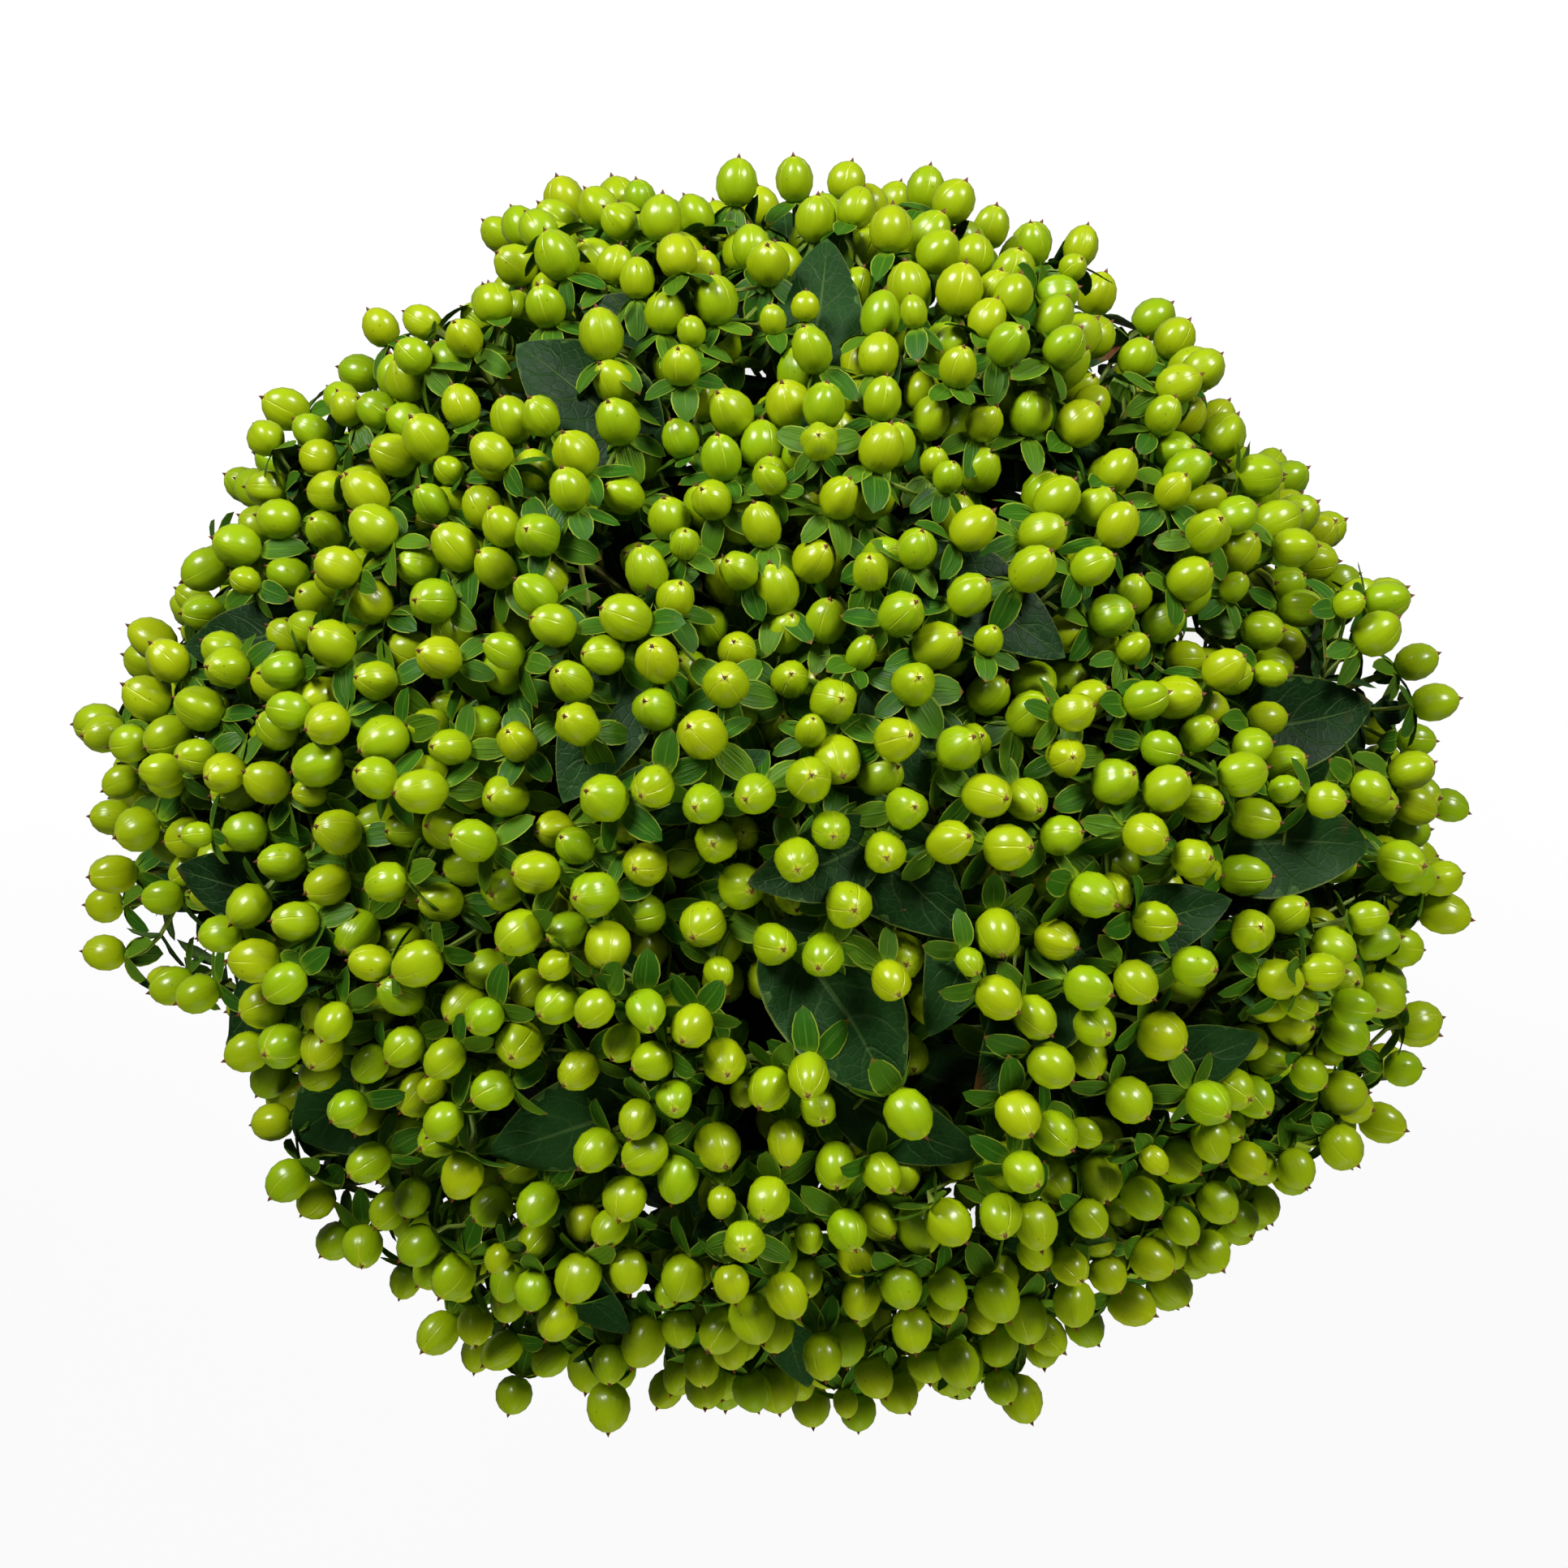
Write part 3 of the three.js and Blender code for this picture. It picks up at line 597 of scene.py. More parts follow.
    def _arch(self, branch: Branch) -> None:
        """The stem's arch from the tie to the berry that ends it: a cubic curve in straight steps."""
        tips = [b for b in branch.berries if self._is_taken(branch.node, self._tip(b))]
        last = max(tips, key=lambda berry: berry.nearness)
        span = float(np.linalg.norm(last.base - branch.tie))
        rise = branch.tie + branch.lean * self.rise_handle * span
        end = last.base - last.axis * self.head_handle * span
        branch.handles = np.array([branch.tie, rise, end, last.base])
        branch.arch = bezier(branch.handles, np.linspace(0, 1, self.arch_steps + 1))
        branch.length = float(np.linalg.norm(np.diff(branch.arch, axis=0), axis=1).sum())
        branch.berries = sorted(tips, key=lambda berry: -berry.nearness)

    def _tip(self, berry: Berry) -> np.ndarray:
        """The point of a berry."""
        return berry.base + berry.axis * self.berry_length * berry.size

    def _fork(self, branch: Branch, place: np.ndarray) -> float:
        """How far back a twig to a place leaves the stem, clear of the forks that are taken."""
        back = self.nearest_fork
        for _ in range(self.fork_passes):
            point, direction, _ = branch.at(back)
            gap = place - point
            ahead = float(gap @ direction)
            beside = math.sqrt(max(0.0, float(gap @ gap) - ahead * ahead))
            wanted = back - ahead + self.twig_slant * beside
            back = min(max(wanted, self.nearest_fork), self.deepest_fork * branch.length)
        while any(abs(fork - back) < self.fork_gap for fork in branch.forks):
            back += 1
        return back

    def _lay_head_leaf(self, plan: HeadLeaf) -> Leaf:
        """Lays a large leaf by its tip, its face between the dome's slope and level."""
        angle = math.atan2(plan.tip[1], plan.tip[0])
        fall = math.asin(min(1.0, math.hypot(*plan.tip) / self.dome.reach_at(angle)))
        point, outward = self.dome.place(fall, angle, -self.head_leaf_depth)
        level = unit(outward + UP * self.head_leaf_level)
        way = np.array([math.cos(plan.points * DEGREE), math.sin(plan.points * DEGREE), 0.0])
        ahead = unit(way - level * (way @ level))
        heading = turned(ahead, level, self.head_leaf_rise)
        face = turned(level, ahead, -self.head_leaf_rise)
        leaf = Leaf(point, heading, face, plan.length, plan.width)
        leaf.root = point - heading * plan.length + face * leaf.arch * plan.length
        return leaf

    def _carry_head_leaves(self, branches: list[Branch]) -> None:
        """Gives each large leaf to the branch whose solid holds its tip."""
        for plan in self.head_leaves:
            leaf = self._lay_head_leaf(plan)
            owners = [b for b in branches if self._is_taken(b.node, leaf.middle(1))]
            for owner in owners[:1]:
                fork = self._fork(owner, leaf.root)
                owner.forks.append(fork)
                owner.head_leaves.append((leaf, fork))

    def _carry_berries(self, branch: Branch) -> None:
        """Finds each berry's fork on the stem."""
        for berry in branch.berries[1:]:
            berry.fork = self._fork(branch, berry.base)
            branch.forks.append(berry.fork)

    def _set_leaves(self, branch: Branch, draw: Draw) -> None:
        """Sets a branch's leaves in opposite pairs, at the turns and sizes that its solid has."""
        length, width, rise, spread = self.stem_leaf
        first_turn = draw.between(0, 180)
        for pair, back in enumerate(self.leaf_pairs):
            point, direction, _ = branch.at(back)
            for opposite in (0, 180):
                grown = draw.between(1 - spread, 1 + spread)
                for shrink in self.leaf_shrinks:
                    turns = [first_turn + 90 * pair + opposite + shift for shift in self.leaf_turns]
                    size = grown * shrink
                    tries = [grow_leaf(point, direction, turn, rise, length * size, width * size) for turn in turns]
                    found = [leaf for leaf in tries if self._is_taken(branch.node, leaf.middle(1))]
                    branch.leaves.extend(found[:1])
                    branch.leaf_forks.extend([back] * len(found[:1]))
                    if found:
                        break


def grow_leaf(
    point: np.ndarray, direction: np.ndarray, turn: float, rise: float, length: float, width: float
) -> Leaf:
    """A leaf that grows from a stem's point at a turn round the stem, with its face to the stem.

    Args:
        point: The point on the stem.
        direction: The stem's direction there.
        turn: The turn round the stem, in degrees.
        rise: The angle between leaf and stem, in degrees.
        length: The leaf's length in millimetres.
        width: Its width in millimetres.

    Returns:
        The leaf.
    """
    right = across(direction)
    outward = turned(right, np.cross(direction, right), turn)
    return Leaf(point, turned(direction, outward, rise), turned(-outward, direction, rise), length, width)


# ---------------------------------------------------------------- the crop of berries


class Bearer(IntEnum):
    """What a berry sits on: the end of a stem, a twig, a twig's side stalk, or a spur in a gap."""

    STEM = 0
    TWIG = 1
    STALK = 2
    SPUR = 3


@dataclass
class Crop:
    """All the berries, as arrays over berries.

    Attributes:
        centre: Each berry's middle.
        axis: The way each berry points.
        size: Each berry's relative size.
        branch: The number of the branch that bears it.
        bearer: What it sits on.
        foot: Where it meets its stalk.
        stalk: The handles of its twig, side stalk or spur.
    """

    centre: np.ndarray
    axis: np.ndarray
    size: np.ndarray
    branch: np.ndarray
    bearer: np.ndarray
    foot: np.ndarray
    stalk: np.ndarray

    def of(self, chosen: np.ndarray) -> "Crop":
        """Some of the berries."""
        return Crop(*(getattr(self, part.name)[chosen] for part in fields(self)))

    def near(self, places: np.ndarray, reach: float) -> "Crop":
        """The berries whose middles lie within a reach of any of the places."""
        gaps = np.linalg.norm(self.centre[:, None] - places[None], axis=-1)
        return self.of(gaps.min(axis=1) < reach)

    @classmethod
    def join(cls, crops: list["Crop"]) -> "Crop":
        """Several crops as one."""
        return cls(*(np.concatenate([getattr(crop, part.name) for crop in crops]) for part in fields(cls)))


@dataclass
class Flourish:
    """Grows more berries round and between those of the solids. Lengths are millimetres.

    Attributes:
        side_counts: How many side berries grow round one of the solids' berries.
        reach: How far from it they grow.
        drop: How far below it they grow.
        flare: How far they lean away from it.
        nod: How far any berry leans by chance.
        steepest: How far berries lean outward at the rim, in degrees.
        lean_rate: How soon on the way to the rim they lean.
        under_lean: How much further they lean under the widest place, in degrees.
        heart_height: The height of the point that the clusters spread from.
        sizes: The side berries' relative sizes.
        small_share: The share of berries that stay small.
        small_size: Their relative size.
        berry_radius: The room that a berry needs round its middle.
        rounds: How often overlapping berries are pushed apart.
        homing: The share of the way back to its own place that a berry goes each round.
        worst_overlap: How far two berries may overlap.
        widest: How far out side berries may lie, as a share of the dome's reach.
        notch: How much less far that is in the middle of a notch.
        sprays: Where the outline stands out or back: the way and the width in degrees, the change.
        fill_tries: How many places are tried for berries that fill gaps.
        crown_pull: How much closer together these lie at the crown. 1 is no closer.
        leaf_tries: How many more are tried over each large leaf.
        fill_depth: How far below the dome the first lie, from and to.
        fill_room: How far they stay from their neighbours.
        fill_widest: How far out they may lie, as a share of the dome's reach.
        foot_depth: How far behind its middle a berry meets its stalk.
        side_stalk: How far from a twig's end its side stalks leave it.
        spur_backs: The distances back from a stem's tip at which spurs may grow: from, to and step.
        shortest_spur: The length under which a spur is avoided.
        leaf_room: The room between a berry's middle and a large leaf.
        cover_height: How far above a large leaf's tip no berry may lie.
        bare_from: The share of a 20 mm wide leaf's length from which its blade stays in sight.
        bare_by_width: How much less it is for each millimetre of width.
    """

    seed: int = 41
    side_counts: tuple[int, ...] = (2, 3, 3, 3, 4)
    reach: tuple[float, float] = (12.2, 15.5)
    drop: tuple[float, float] = (-1.5, 9.0)
    flare: float = 0.3
    nod: float = 0.21
    steepest: float = 80
    lean_rate: float = 1.9
    under_lean: float = 40
    heart_height: float = 250
    sizes: tuple[float, float] = (0.88, 1.11)
    small_share: float = 0.07
    small_size: float = 0.7
    berry_radius: float = 5.6
    rounds: int = 36
    homing: float = 0.04
    worst_overlap: float = 1.0
    widest: float = 1.0
    notch: float = 0.12
    sprays: tuple[tuple[float, float, float], ...] = (
        (40, 8, 0.06), (-44, 8, 0.05), (92, 5, -0.16), (54, 3, -0.1), (128, 4, -0.1), (202, 5, -0.1), (-100, 4, -0.08),
    )  # fmt: skip
    fill_tries: int = 2200
    crown_pull: float = 1.2
    leaf_tries: int = 36
    fill_depth: tuple[float, float] = (-1.0, 26.0)
    fill_room: float = 0.5
    fill_widest: float = 0.87
    foot_depth: float = 5.7
    side_stalk: float = 12.0
    spur_backs: tuple[float, float, float] = (10, 150, 3)
    shortest_spur: float = 8.0
    leaf_room: float = 5.8
    cover_height: float = 22.0
    bare_from: float = 0.72
    bare_by_width: float = 0.03

    def grow(self, branches: list[Branch], dome: Dome) -> Crop:
        """Grows the berries.

        Args:
            branches: The branches with the berries that their solids hold.
            dome: The dome through the outer berries.

        Returns:
            All the berries.
        """
        chance = np.random.default_rng(self.seed)
        leaves = [leaf for branch in branches for leaf, _ in branch.head_leaves]
        first = self._held(branches, dome, chance)
        owner, home, beside = self._beside(first, chance)
        fixed = np.arange(len(first.centre) + len(home)) < len(first.centre)
        sizes = np.concatenate([first.size, self._sizes(len(home), chance)])
        places = self._spread(np.concatenate([first.centre, home]), sizes, fixed)
        is_out = self._is_past(dome, places, self.widest)
        keep = fixed | ~(is_out | self._overlaps(places, sizes) | self._hides_leaf(places, leaves))
        spare, spare_sizes = self._gaps(dome, places[keep], sizes[keep], leaves, chance)
        side = keep & ~fixed
        owner, beside = owner[keep[~fixed]], beside[keep[~fixed]]
        start, ahead = near_end(first.stalk[owner], self.side_stalk)
        axis = self._fanned(dome, places[side], self.flare * beside, chance)
        sides = self._stalked(places[side], axis, sizes[side], first.branch[owner], Bearer.STALK, start, ahead)
        axis = self._fanned(dome, spare, np.zeros_like(spare), chance)
        owner, start, ahead = self._nearest_wood(spare - axis * self.foot_depth, branches, first)
        spurs = self._stalked(spare, axis, spare_sizes, owner, Bearer.SPUR, start, ahead)
        return Crop.join([first, sides, spurs])

    def _held(self, branches: list[Branch], dome: Dome, chance: np.random.Generator) -> Crop:
        """The solids' berries, each on its twig, but the one that ends a stem keeps its own way."""
        held = [(number, berry) for number, branch in enumerate(branches) for berry in branch.berries]
        centre = np.array([berry.point for _, berry in held])
        size = np.array([berry.size for _, berry in held])
        ends_stem = np.array([berry is branches[number].berries[0] for number, berry in held])
        own = np.array([berry.axis for _, berry in held])
        axis = np.where(ends_stem[:, None], own, self._fanned(dome, centre, np.zeros_like(centre), chance))
        start, ahead = (np.array(part) for part in zip(*[
            branches[number].on_curve(26.0 if ends else berry.fork)
            for (number, berry), ends in zip(held, ends_stem)
        ]))  # fmt: skip
        branch = np.array([number for number, _ in held])
        crop = self._stalked(centre, axis, size, branch, Bearer.TWIG, start, ahead)
        crop.bearer = np.where(ends_stem, Bearer.STEM, Bearer.TWIG)
        return crop

    def _sizes(self, count: int, chance: np.random.Generator) -> np.ndarray:
        """Relative sizes of berries, a few of them small."""
        is_small = chance.random(count) < self.small_share
        return np.where(is_small, self.small_size, chance.uniform(*self.sizes, count))

    def _fanned(
        self, dome: Dome, places: np.ndarray, flare: np.ndarray, chance: np.random.Generator
    ) -> np.ndarray:
        """The ways that berries point: up at the crown, and more and more outward to the rim.

        The lean is the steepest times (1 - e^(-rate s)) / (1 - e^(-rate)), where s is the share of
        the dome's reach, and a little more under the widest place.

        Args:
            dome: The dome.
            places: The berries' middles.
            flare: What is added to each berry's way.
            chance: The draws by which they nod.

        Returns:
            The directions.
        """
        share = self._share_of_reach(dome, places)
        lean = self.steepest * (1 - np.exp(-self.lean_rate * share)) / (1 - math.exp(-self.lean_rate))
        lean += self.under_lean * np.clip((dome.widest_height - places[:, 2]) / dome.crown_rise, 0, 1)
        round_way = unit(places * (1, 1, 0))
        return unit(turned(UP, round_way, lean[:, None]) + flare + chance.normal(0, self.nod, places.shape))

    @staticmethod
    def _share_of_reach(dome: Dome, places: np.ndarray) -> np.ndarray:
        """How far out places lie in plan, as a share of the dome's reach."""
        reach = [dome.reach_at(math.atan2(y, x)) for x, y, _ in places]
        return np.hypot(places[:, 0], places[:, 1]) / np.array(reach)

    def _is_past(self, dome: Dome, places: np.ndarray, widest: float) -> np.ndarray:
        """Which places lie past a share of the dome's reach, which is less at the notches.

        Notches lie where sin(5 a + 0.6) sin(11 a) is high, a being the angle round the axis. Each
        listed spray or notch changes the share by its own change times e^(-(a - way)^2 / width^2).
        """
        angle = np.arctan2(places[:, 1], places[:, 0])
        notches = np.clip(np.sin(5 * angle + 0.6) * np.sin(11 * angle), 0, 1)
        limit = widest - self.notch * notches
        for way, width, change in self.sprays:
            off = np.angle(np.exp(1j * (angle - way * DEGREE))) / (width * DEGREE)
            limit = limit + change * np.exp(-(off**2))
        return self._share_of_reach(dome, places) > limit

    def _beside(self, first: Crop, chance: np.random.Generator) -> tuple[np.ndarray, np.ndarray, np.ndarray]:
        """Places for side berries: whose they are, where they lie and on which side."""
        counts = chance.choice(self.side_counts, len(first.centre))
        owner = np.repeat(np.arange(len(counts)), counts)
        place = np.concatenate([np.arange(count) / count for count in counts])
        angle = 2 * math.pi * (place + chance.random(len(counts))[owner] + chance.normal(0, 0.05, len(owner)))
        outward = unit(first.centre - UP * self.heart_height)
        right = across(outward)[owner]
        front = np.cross(outward[owner], right)
        beside = right * np.cos(angle)[:, None] + front * np.sin(angle)[:, None]
        reach = chance.uniform(*self.reach, (len(owner), 1))
        drop = chance.uniform(*self.drop, (len(owner), 1))
        return owner, first.centre[owner] + beside * reach - outward[owner] * drop, beside

    def _spread(self, home: np.ndarray, size: np.ndarray, fixed: np.ndarray) -> np.ndarray:
        """Pushes overlapping berries apart, each round by half of what is lacking, but not the fixed."""
        place = home.copy()
        room = self.berry_radius * (size[:, None] + size[None])
        for _ in range(self.rounds):
            gap = place[:, None] - place[None]
            distance = np.linalg.norm(gap, axis=-1) + np.eye(len(place)) * 1e6
            lack = np.clip(room - distance, 0, None)
            push = np.einsum("ij,ijk->ik", lack / distance, gap) * 0.5
            place = place + np.where(fixed[:, None], 0, push + (home - place) * self.homing)
        return place

    def _overlaps(self, place: np.ndarray, size: np.ndarray) -> np.ndarray:
        """Which berries overlap an earlier one too far."""
        room = self.berry_radius * (size[:, None] + size[None])
        distance = np.linalg.norm(place[:, None] - place[None], axis=-1)
        return np.tril(room - distance > self.worst_overlap, -1).any(axis=1)

    def _hides_leaf(self, place: np.ndarray, leaves: list[Leaf]) -> np.ndarray:
        """Which berries touch a large leaf, or lie over the part of it that stays in sight."""
        hides = np.zeros(len(place), bool)
        for leaf in leaves:
            offset = place - leaf.root
            share = offset @ leaf.heading / leaf.length
            side = np.abs(offset @ np.cross(leaf.face, leaf.heading)) / leaf.width
            above = offset @ leaf.face + leaf.arch * leaf.length * share**2
            bare = self.bare_from - self.bare_by_width * (leaf.width - 20)
            hides |= (share > bare) & (share < 1) & (side < 0.36) & (above > 0) & (above < self.cover_height)
            hides |= (share > 0.1) & (share < 1.03) & (side < 0.5) & (np.abs(above) < self.leaf_room)
        return hides

    def _gaps(
        self, dome: Dome, place: np.ndarray, size: np.ndarray, leaves: list[Leaf], chance: np.random.Generator
    ) -> tuple[np.ndarray, np.ndarray]:
        """Finds places for more berries in the gaps, at many depths.

        Args:
            dome: The dome through the outer berries.
            place: The middles of the berries that are there.
            size: Their relative sizes.
            leaves: The large leaves.
            chance: The draws.

        Returns:
            The middles and the sizes of the new berries.
        """
        number = np.arange(self.fill_tries)
        falls = [dome.fall_at(((n + 0.5) / self.fill_tries) ** self.crown_pull) for n in number]
        depths = chance.uniform(*self.fill_depth, self.fill_tries)
        spiral = [dome.place(f, n * GOLDEN_ANGLE + 1, -d)[0] for f, n, d in zip(falls, number, depths)]
        tries = np.concatenate([self._over_leaves(leaves, chance), spiral])
        wanted = self._sizes(len(tries), chance)
        free = ~(self._hides_leaf(tries, leaves) | self._is_past(dome, tries, self.fill_widest))
        start = len(place)
        for point, one in zip(tries[free], wanted[free]):
            gap = np.linalg.norm(place - point, axis=1) - self.berry_radius * (size + one)
            if gap.min() > self.fill_room:
                place, size = np.vstack([place, point]), np.append(size, one)
        return place[start:], size[start:]

    def _over_leaves(self, leaves: list[Leaf], chance: np.random.Generator) -> np.ndarray:
        """Places just over the large leaves, from their roots to where they stay bare."""
        shape = (len(leaves), self.leaf_tries, 1)
        root, heading, face = (np.array([getattr(leaf, name) for leaf in leaves])[:, None]
                               for name in ("root", "heading", "face"))  # fmt: skip
        size = np.array([(leaf.length, leaf.width, leaf.arch) for leaf in leaves])[:, None, :, None]
        share = chance.uniform(0.02, self.bare_from, shape)
        side = chance.uniform(-0.55, 0.55, shape) * size[:, :, 1]
        lift = self.leaf_room + chance.uniform(0.1, 5, shape) - size[:, :, 2] * size[:, :, 0] * share**2
        places = root + heading * share * size[:, :, 0] + np.cross(face, heading) * side + face * lift
        return places.reshape(-1, 3)

    def _nearest_wood(
        self, foot: np.ndarray, branches: list[Branch], first: Crop
    ) -> tuple[np.ndarray, np.ndarray, np.ndarray]:
        """Finds where each spur leaves the wood.

        A place on a stem or a twig costs its distance from the berry's foot, and more the further
        the spur turns off from it, and more again where the spur would be shorter than it may be.

        Args:
            foot: The feet of the berries on the spurs.
            branches: The branches.
            first: The berries whose twigs may bear spurs.

        Returns:
            The branches' numbers, the places and the directions of the wood there.
        """
        backs = np.arange(*self.spur_backs)
        owner = [(n, back) for n, b in enumerate(branches) for back in backs if back < 0.8 * b.length]
        stem = np.array([branches[n].on_curve(back) for n, back in owner])
        line = bezier(first.stalk, np.linspace(0.1, 0.9, 9))
        point = np.concatenate([stem[:, 0], line[:, 1:-1].reshape(-1, 3)])
        way = np.concatenate([stem[:, 1], unit(line[:, 2:] - line[:, :-2]).reshape(-1, 3)])
        number = np.concatenate([[n for n, _ in owner], np.repeat(first.branch, line.shape[1] - 2)])
        gap = foot[:, None] - point[None]
        distance = np.linalg.norm(gap, axis=-1)
        turn = 1 - np.einsum("ijk,jk->ij", gap, way) / distance
        best = (distance + 16 * turn + 5 * np.clip(self.shortest_spur - distance, 0, None)).argmin(axis=1)
        return number[best], point[best], way[best]

    def _stalked(
        self,
        centre: np.ndarray,
        axis: np.ndarray,
        size: np.ndarray,
        branch: np.ndarray,
        bearer: Bearer,
        start: np.ndarray,
        ahead: np.ndarray,
    ) -> Crop:
        """Sets berries on stalks that leave the wood along it, and come in along the berry's axis."""
        foot = centre - axis * (self.foot_depth * size)[:, None]
        span = np.linalg.norm(foot - start, axis=1, keepdims=True)
        stalk = np.stack([start, start + ahead * 0.32 * span, foot - axis * 0.38 * span, foot], axis=1)
        return Crop(centre, axis, size, branch, np.full(len(centre), bearer), foot, stalk)


# ---------------------------------------------------------------- the shapes

PLAIN_RINGS = (24.0, 55.0, 88.0, 120.0, 148.0, 168.0)


@dataclass(frozen=True)
class BerryShape:
    """A pointed capsule of three to five lobes, with its brown beak. Lengths are millimetres."""

    sides: int = 20
    ring_angles: tuple[float, ...] = (20, 45, 71, 97, 123, 148, 168)
    radius: float = 5.5
    half_length: float = 6.0
    squareness: float = 0.84
    taper: float = 0.06
    point: float = 0.05
    lobe_depth: tuple[float, float] = (0.07, 0.2)
    lobe_counts: tuple[int, ...] = (3, 3, 3, 4, 4, 5)
    stretch: float = 0.07

    def build(self, centre: np.ndarray, axis: np.ndarray, size: np.ndarray, seed: int) -> Tubes:
        """Works out berries: half-length times -cos p along the axis, radius times sin p out of it.

        The radius narrows towards the point, and is pinched where two lobes meet, by
        depth times ((1 + cos(lobes times angle)) / 2)^1.5.

        Args:
            centre: The berries' middles.
            axis: The ways they point.
            size: Their relative sizes.
            seed: The seed of their small differences.

        Returns:
            The berries.
        """
        chance = np.random.default_rng(seed)
        count = len(centre)
        polar = np.radians(self.ring_angles)
        along = -np.cos(polar) + self.point * np.clip((polar - 2.4) / 0.7, 0, 1) ** 2
        girth = np.sin(polar) ** self.squareness * (1 - self.taper * np.clip(along, 0, 1) ** 1.5)
        lobes = chance.choice(self.lobe_counts, count)
        turn = np.arange(self.sides + 1) / self.sides
        u = lobes[:, None] * turn
        pinch = (0.5 + 0.5 * np.cos(2 * math.pi * u[:, :-1])) ** 1.5
        depth = chance.uniform(*self.lobe_depth, (count, 1, 1)) * (0.35 + 0.65 * (polar / math.pi))[:, None]
        reach = girth[:, None] * (1 - depth * pinch[:, None])
        long_size = size * (1 + self.stretch * chance.normal(0, 0.6, count))
        wide_size = size * (1 + self.stretch * chance.normal(0, 0.4, count))
        spin = chance.random(count) * 2 * math.pi
        right = turned(across(axis), np.cross(axis, across(axis)), spin[:, None] / DEGREE)
        front = np.cross(axis, right)
        angle = turn[:-1] * 2 * math.pi
        spoke = right[:, None] * np.cos(angle)[:, None] + front[:, None] * np.sin(angle)[:, None]
        height = self.half_length * long_size[:, None]
        middle = centre[:, None] + axis[:, None] * (height * along)[..., None]
        rings = middle[:, :, None] + spoke[:, None] * (reach * self.radius * wide_size[:, None, None])[..., None]
        tone = np.clip(0.5 + chance.normal(0, 0.24, count), 0, 1)[:, None, None]
        starts = centre - axis * height * 0.94
        ends = centre + axis * height * (1 + self.point)
        places = polar / math.pi
        return Tubes(rings, starts, ends, u, places, {"tone": tone, "seam": chance.random((count, 1, 1))})

    def beaks(self, berries: Tubes, axis: np.ndarray, size: np.ndarray) -> Tubes:
        """The beaks: short cones of three ribs, sunk into the berries' points."""
        right = across(axis)
        front = np.cross(axis, right)
        angle = np.arange(6) / 6 * 2 * math.pi
        spoke = right[:, None] * np.cos(angle)[:, None] + front[:, None] * np.sin(angle)[:, None]
        ribs = np.where(np.arange(6) % 2 == 0, 1.0, 0.45)
        heights, reaches = np.array([-0.4, 0.3]), np.array([0.95, 0.52])
        foot = berries.ends[:, None] + axis[:, None] * (heights * size[:, None])[..., None]
        reach = (reaches[:, None] * ribs)[None] * size[:, None, None]
        rings = foot[:, :, None] + spoke[:, None] * reach[..., None]
        ends = berries.ends + (axis * 1.15 + 0.2 * right) * size[:, None]
        u = np.broadcast_to(np.arange(7) / 6, (len(axis), 7))
        return Tubes(rings, foot[:, 0], ends, u, np.array([0.3, 0.7]), {"cork": np.ones((1, 1, 1))})


@dataclass(frozen=True)
class BladeShape:
    """A thin closed blade: a leaf, a bract or a sepal.

    Attributes:
        halves: The number of strips on each side of the midrib.
        rings: The number of rings between its foot and its tip.
        bulge: How far towards the foot the widest place is drawn.
        fullness: How round its outline is. Less is rounder.
        thick: Its thickness at the midrib, in millimetres.
        fold: How far its edges stand up, as a share of the half-width.
    """

    halves: int
    rings: int
    bulge: float = 0.8
    fullness: float = 0.75
    thick: float = 0.5
    fold: float = 0.16

    @property
    def stations(self) -> np.ndarray:
        """The rings' shares of the length: closer towards both ends."""
        even = np.arange(1, self.rings + 1) / (self.rings + 1)
        return 0.5 * even + 0.25 * (1 - np.cos(math.pi * even))

    def build(
        self,
        path: np.ndarray,
        side: np.ndarray,
        face: np.ndarray,
        width: np.ndarray,
        wave: np.ndarray,
        tone: np.ndarray,
    ) -> Tubes:
        """Works out blades: the path plus k times the half-width to the side, k from -1 to 1.

        The half-width is half the width times sin(pi s^bulge)^fullness. The edges rise by the
        fold times |k|, and by the wave times k squared.

        Args:
            path: Midrib points at foot, stations and tip, shape (N, R + 2, 3).
            side: The direction across each blade.
            face: The upper side's direction.
            width: The blades' full widths.
            wave: How far the left and right edges rise at each station, shape (N, R, 2).
            tone: A value from 0 to 1 for each blade.

        Returns:
            The blades.
        """
        half = self.halves
        over = np.linspace(1, -1, 2 * half + 1)
        k = np.concatenate([over, over[::-1][1:-1]])
        below = np.concatenate([np.zeros(2 * half + 1), np.ones(2 * half - 1)])
        shares = self.stations
        reach = 0.5 * width[:, None] * np.sin(math.pi * shares**self.bulge) ** self.fullness
        skin = 0.5 * self.thick * (1 - k**2) * (1 - 2 * below)
        edge = np.where(k < 0, wave[:, :, :1], wave[:, :, 1:]) * k**2
        lift = self.fold * reach[..., None] * np.abs(k) + edge + skin
        rings = path[:, 1:-1, None] + side[:, None, None] * (reach[..., None] * k)[..., None]
        rings = rings + face[:, None, None] * lift[..., None]
        u = np.broadcast_to(0.5 + 0.5 * np.append(k, 1.0), (len(path), len(k) + 1))
        marks = {"under": below, "tone": tone[:, None, None]}
        return Tubes(rings, path[:, 0], path[:, -1], u, shares, marks)


